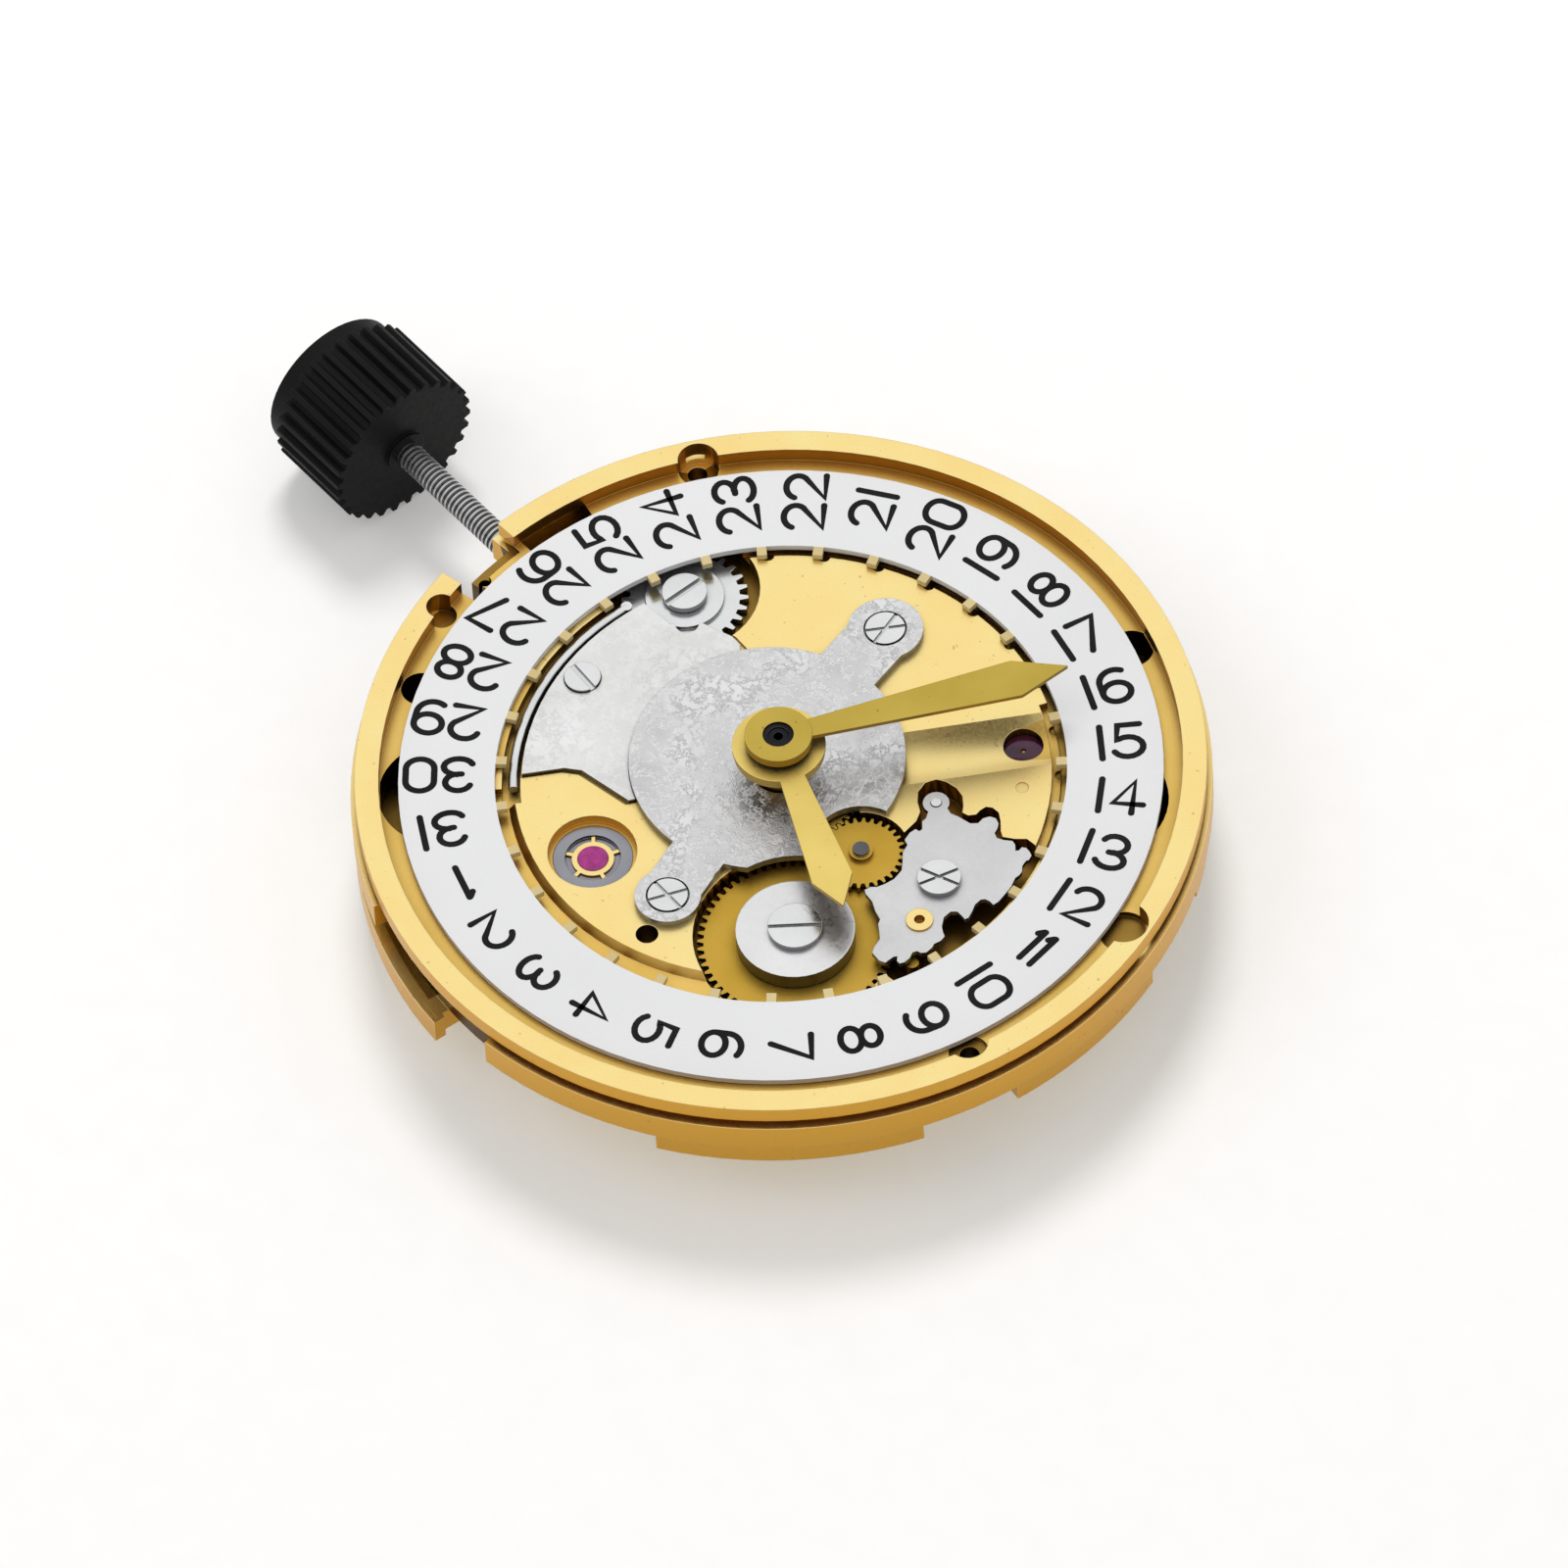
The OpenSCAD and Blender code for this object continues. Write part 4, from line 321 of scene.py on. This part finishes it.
def ring_material():
    """Painted white with ivory-gold inner teeth, told apart by their radius on the ring."""
    t = Tree("date_white")
    nrm, _ = t.edge(0.02)
    fine = t.noise(16000, 4.0, 0.6)
    large = t.noise(120, 2.0, 0.5)
    white = t.ramp(large, [(0.3, (0.82, 0.825, 0.835)), (0.7, (0.86, 0.865, 0.875))])
    white = t.mix(0.08, white, t.grey(fine, 0.3, 0.6, 0.7, 1.0), "MULTIPLY")
    flat = t.add("ShaderNodeVectorMath", operation="MULTIPLY")
    t.link(t.co, flat.inputs[0])
    flat.inputs[1].default_value = (1.0, 1.0, 0.0)
    rad = t.add("ShaderNodeVectorMath", operation="LENGTH")
    t.link(flat.outputs[0], rad.inputs[0])
    tooth = t.math("LESS_THAN", rad.outputs["Value"], TOOTH_END_R * MM)
    ivory = t.ramp(large, [(0.3, (0.60, 0.46, 0.19)), (0.7, (0.76, 0.62, 0.33))])
    t.link(t.mix(tooth, white, ivory), t.b.inputs["Base Color"])
    t.link(t.grey(fine, 0.3, 0.36, 0.7, 0.5), t.b.inputs["Roughness"])
    t.b.inputs["Metallic"].default_value = 0.0
    t.link(t.bump(fine, 0.15, 0.002, nrm), t.b.inputs["Normal"])
    return t.mat


def ruby_material(name, dark, light):
    t = Tree(name)
    nrm, _ = t.edge(0.03)
    cloud = t.noise(3000, 2.0)
    t.link(t.ramp(cloud, [(0.3, dark), (0.7, light)]), t.b.inputs["Base Color"])
    t.link(t.bump(cloud, 0.05, 0.002, nrm), t.b.inputs["Normal"])
    t.b.inputs["Roughness"].default_value = 0.08
    t.b.inputs["IOR"].default_value = 1.76
    t.b.inputs["Specular IOR Level"].default_value = 0.25
    return t.mat


ring_white = ring_material()
ruby = ruby_material("ruby", (0.22, 0.006, 0.12), (0.48, 0.02, 0.28))
# Painted shade: a darker ruby for a jewel that sits deep in its hole.
shaded_ruby = ruby_material("shaded_ruby", (0.035, 0.004, 0.02), (0.10, 0.01, 0.06))

# ---------------------------------------------------------------- finishes on the nodes
by_slot = {"gilt_plate": gilt, "silver_steel": steel, "frosted_steel": frosted,
           "wheel_brass": wheel_brass, "hand_brass": minute_brass, "dark_steel": dark_steel,
           "blued_spring": blued, "bridge_nickel": nickel, "ruby": ruby, "date_white": ring_white,
           "black_crown": black}
by_node = {"hour_hand": hour_brass, "keyless_cover": cover_steel, "date_jumper_plate": satin,
           "date_wheel_washer": washer, "winding_stem": threaded, "shock_blocks": block_steel}
slot_of = {s["node"]: s["material_slot"] for s in frame["record"]["subparts"]}
for name, obj in nodes.items():
    obj.data.materials.clear()
    obj.data.materials.append(by_node.get(name, by_slot[slot_of[name]]))


def paint(node, mat, inside):
    """Another material on the faces whose centre, in mm, and normal pass the test."""
    ob = nodes[node]
    ob.data.materials.append(mat)
    k = len(ob.data.materials) - 1
    for p in ob.data.polygons:
        c = ob.matrix_world @ p.center / MM
        if inside(c, p.normal):
            p.material_index = k


def near(c, x, y, r):
    return math.hypot(c.x - x, c.y - y) < r


# Radii of the platform's edge, of the ring's seat and of the plate's rim, and the plate's underside
PLATFORM_R = 7.6
RING_SEAT_R = 8.75
RIM_R = 12.4
UNDERSIDE_Z = -2.15


def sunk(c, n, platform, seat, rim):
    """True on the plate's dial side below a height that depends on the distance from the axis."""
    r = math.hypot(c.x, c.y)
    level = platform if r < PLATFORM_R else seat if r < RING_SEAT_R else rim
    return n.z > -0.3 and r < RIM_R and UNDERSIDE_Z < c.z < level


# Painted shade: faces sunk below the platform, the ring's seat and the rim take a darker gilt.
paint("main_plate", gilt_in_shade, lambda c, n: sunk(c, n, -0.74, -0.52, -0.06))
# Painted shade: the deepest recess floors and walls turn near-black brown.
paint("main_plate", pit_shade, lambda c, n: sunk(c, n, -0.87, -0.87, -0.55))
paint("intermediate_date_wheel", dark_steel, lambda c, n: near(c, -3.745, -0.02, 0.28) and c.z > -0.6)
paint("jumper_eyelet", steel, lambda c, n: near(c, -3.9, -2.82, 0.3))
# Painted shade: the dial-side jewel deep in the plate, with the edge of its hole, takes the darker ruby.
paint("bearing_jewels", shaded_ruby, lambda c, n: near(c, -3.8, -6.3, 0.8) and c.z > -1.4)
paint("seconds_wheel", jet, lambda c, n: c.z > -0.2)
paint("cannon_pinion", jet, lambda c, n: c.z > 0.2)
# Painted shade: the hands' downward faces are dark, so the metal beneath mirrors them dark.
for hand in ("hour_hand", "minute_hand"):
    paint(hand, shade, lambda c, n: n.z < -0.7)

# ---------------------------------------------------------------- date numbers
DATES = 31
PITCH = 360 / DATES
ANGLE_OF_15 = -124.85
NUMBER_R = 10.28
PRINT_Z = -0.274
LAYER = 0.003
HEIGHT, WIDE, GAP, BESIDE_1 = 1.20, 0.86, 0.28, 0.12
INK_WIDTH = 0.20


def arc(cx, cy, rx, ry, a0, a1, n=14):
    angles = [math.radians(a0 + (a1 - a0) * i / n) for i in range(n + 1)]
    return [(cx + rx * math.cos(a), cy + ry * math.sin(a)) for a in angles]


# Strokes of each digit in a box 0.6 wide and 1 high, and the flag of a 1 that stands alone or doubled
DIGITS = {
    "0": [arc(0.3, 0.3, 0.3, 0.3, 180, 360) + arc(0.3, 0.7, 0.3, 0.3, 0, 180) + [(0, 0.3)]],
    "1": [[(0.0, 1.0), (0.0, 0.0)]],
    "2": [arc(0.3, 0.7, 0.3, 0.3, 165, -35) + [(0.02, 0.0), (0.62, 0.0)]],
    "3": [arc(0.29, 0.74, 0.27, 0.26, 160, -90) + [(0.22, 0.48)],
          arc(0.29, 0.25, 0.31, 0.25, 85, -160)],
    "4": [[(0.42, 0.0), (0.42, 1.0), (0.0, 0.28), (0.64, 0.28)]],
    "5": [[(0.56, 1.0), (0.1, 1.0), (0.05, 0.54)] + arc(0.28, 0.31, 0.32, 0.31, 125, -155)],
    "6": [arc(0.3, 0.3, 0.3, 0.3, 180, 540, 24),
          [(0.0, 0.3)] + arc(0.34, 0.62, 0.34, 0.38, 180, 55)],
    "7": [[(0.0, 1.0), (0.6, 1.0), (0.2, 0.0)]],
    "8": [arc(0.3, 0.26, 0.3, 0.26, -90, 270, 24), arc(0.3, 0.76, 0.26, 0.24, -90, 270, 24)],
    "9": [arc(0.3, 0.7, 0.3, 0.3, 0, 360, 24), [(0.6, 0.7)] + arc(0.26, 0.38, 0.34, 0.38, 0, -125)],
}
FLAG = [(-0.11, 0.86), (-0.02, 0.99)]
DIGIT_BOX = 0.6
MITRE_LIMIT = 0.78
CAP_STEPS = 8


def stroke(points, width, z, verts, faces):
    """A flat ribbon of the given width along the points, mitred at the corners, with round ends."""
    pts = [Vector(points[0])]
    for q in points[1:]:
        if (Vector(q) - pts[-1]).length > 1e-3:
            pts.append(Vector(q))
    closed = (pts[0] - pts[-1]).length < 0.02
    if closed:
        pts[-1] = pts[0].copy()
    ways = [(b - a).normalized() for a, b in zip(pts, pts[1:])]
    first = len(verts)
    for i, p in enumerate(pts):
        before = ways[i - 1] if i > 0 or closed else ways[0]
        after = ways[i] if i < len(ways) else (ways[0] if closed else ways[-1])
        n = Vector((-before.y - after.y, before.x + after.x)).normalized()
        reach = width / 2 / max(MITRE_LIMIT, n.dot(Vector((-after.y, after.x))))
        verts += [(p.x - n.x * reach, p.y - n.y * reach, z), (p.x + n.x * reach, p.y + n.y * reach, z)]
    for i in range(len(ways)):
        k = first + 2 * i
        faces.append((k, k + 2, k + 3, k + 1))
    if closed:
        return
    last = first + 2 * len(ways)
    for p, way, ends in ((pts[0], -ways[0], (first + 1, first)), (pts[-1], ways[-1], (last, last + 1))):
        turn = math.atan2(way.y, way.x)
        cap = [turn + math.pi * (j / CAP_STEPS - 0.5) for j in range(1, CAP_STEPS)]
        m = len(verts)
        verts += [(p.x + width / 2 * math.cos(a), p.y + width / 2 * math.sin(a), z) for a in cap]
        faces.append((ends[0], *range(m, m + len(cap)), ends[1]))


def digit_starts(text):
    """Where each digit begins along the number, and the number's whole width. A 1 takes no width."""
    x, starts = 0.0, []
    for i, c in enumerate(text):
        starts.append(x)
        x += 0.0 if c == "1" else WIDE
        if i < len(text) - 1:
            x += GAP + (BESIDE_1 if "1" in text[i:i + 2] else 0.0)
    return starts, x


def numbers():
    verts, faces = [], []
    for date in range(1, DATES + 1):
        a = math.radians(ANGLE_OF_15 + (date - 15) * PITCH)
        ux, uy = math.cos(a), math.sin(a)
        text = str(date)
        flag = [FLAG] if text in ("1", "11") else []
        starts, width = digit_starts(text)
        for c, x0 in zip(text, starts):
            for layer, line in enumerate(DIGITS[c] + flag):
                pts = [(NUMBER_R - width / 2 + x0 + px / DIGIT_BOX * WIDE, (py - 0.5) * HEIGHT)
                       for px, py in line]
                pts = [(px * ux - py * uy, px * uy + py * ux) for px, py in pts]
                stroke(pts, INK_WIDTH, PRINT_Z + layer * LAYER, verts, faces)
    me = bpy.data.meshes.new("date_numbers")
    me.from_pydata([tuple(Vector(v) * MM) for v in verts], [], faces)
    me.update()
    me.materials.append(ink)
    ob = bpy.data.objects.new("date_numbers", me)
    scene.collection.objects.link(ob)
    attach(ob, "date_ring_body")


numbers()

# ---------------------------------------------------------------- floor
# A hair below the rotor, whose underside is the lowest face
FLOOR_Z = cad_box[0][2] - 0.00002
FLOOR_HALF = 1.2
CAMERA_GLOW = 0.24
MIRROR_GLOW = 0.22
corners = [(x * FLOOR_HALF, y * FLOOR_HALF, FLOOR_Z) for x, y in ((-1, -1), (1, -1), (1, 1), (-1, 1))]
floor_mesh = bpy.data.meshes.new("floor")
floor_mesh.from_pydata(corners, [], [(0, 1, 2, 3)])
floor = bpy.data.objects.new("floor", floor_mesh)
scene.collection.objects.link(floor)
ft = Tree("floor")
ft.t.nodes.remove(ft.b)
diffuse = ft.add("ShaderNodeBsdfDiffuse")
pale = ft.ramp(ft.noise(900.0, 3.0), [(0.3, (0.80, 0.795, 0.79)), (0.7, (0.82, 0.815, 0.81))])
ft.link(pale, diffuse.inputs["Color"])
glow = ft.add("ShaderNodeEmission", Color=(1, 1, 1, 1))
rays = ft.add("ShaderNodeLightPath").outputs
mirrored = ft.math("MAXIMUM", rays["Is Glossy Ray"], rays["Is Transmission Ray"])
seen = ft.math("MAXIMUM", ft.math("MULTIPLY", mirrored, MIRROR_GLOW),
               ft.math("MULTIPLY", rays["Is Camera Ray"], CAMERA_GLOW))
ft.link(seen, glow.inputs["Strength"])
both = ft.add("ShaderNodeAddShader")
ft.link(diffuse.outputs[0], both.inputs[0])
ft.link(glow.outputs[0], both.inputs[1])
ft.link(both.outputs[0], ft.out.inputs["Surface"])
floor_mesh.materials.append(ft.mat)

# ---------------------------------------------------------------- world
# White where it is seen or mirrored, a little darker towards the horizon, and a softer level as a lamp
WORLD_LAMP = 0.52
world = bpy.data.worlds.new("world")
scene.world = world
world.use_nodes = True
wt = Nodes(world.node_tree)
w_out = wt.add("ShaderNodeOutputWorld")
w_back = wt.add("ShaderNodeBackground", Color=(1, 1, 1, 1))
rays = wt.add("ShaderNodeLightPath").outputs
height = wt.split(wt.add("ShaderNodeTexCoord").outputs["Generated"])["Z"]
mirror = wt.math("MULTIPLY", rays["Is Glossy Ray"], wt.map_range(height, (0.0, 0.55, 0.5, 1.0)))
seen = wt.math("MAXIMUM", rays["Is Camera Ray"], rays["Is Transmission Ray"])
seen = wt.math("MAXIMUM", seen, mirror)
wt.link(wt.math("MAXIMUM", seen, WORLD_LAMP), w_back.inputs["Strength"])
wt.link(w_back.outputs[0], w_out.inputs["Surface"])


# ---------------------------------------------------------------- lamps
def area(name, azimuth, elevation, dist, size, power, color=(1, 1, 1)):
    """A round lamp that faces the origin. The metal mirrors the white room, not the lamp."""
    d = bpy.data.lights.new(name, "AREA")
    d.shape = "DISK"
    d.size = size
    d.energy = power
    d.color = color
    ob = bpy.data.objects.new(name, d)
    e, a = math.radians(elevation), math.radians(azimuth)
    ob.location = Vector((math.cos(e) * math.cos(a), math.cos(e) * math.sin(a), math.sin(e))) * dist
    ob.rotation_euler = ob.location.to_track_quat("Z", "Y").to_euler()
    ob.visible_glossy = False
    scene.collection.objects.link(ob)


area("key", -36, 58, 0.40, 0.14, 0.72, (1.0, 0.99, 0.975))
area("side_fill", 60, 50, 0.45, 0.30, 0.20)
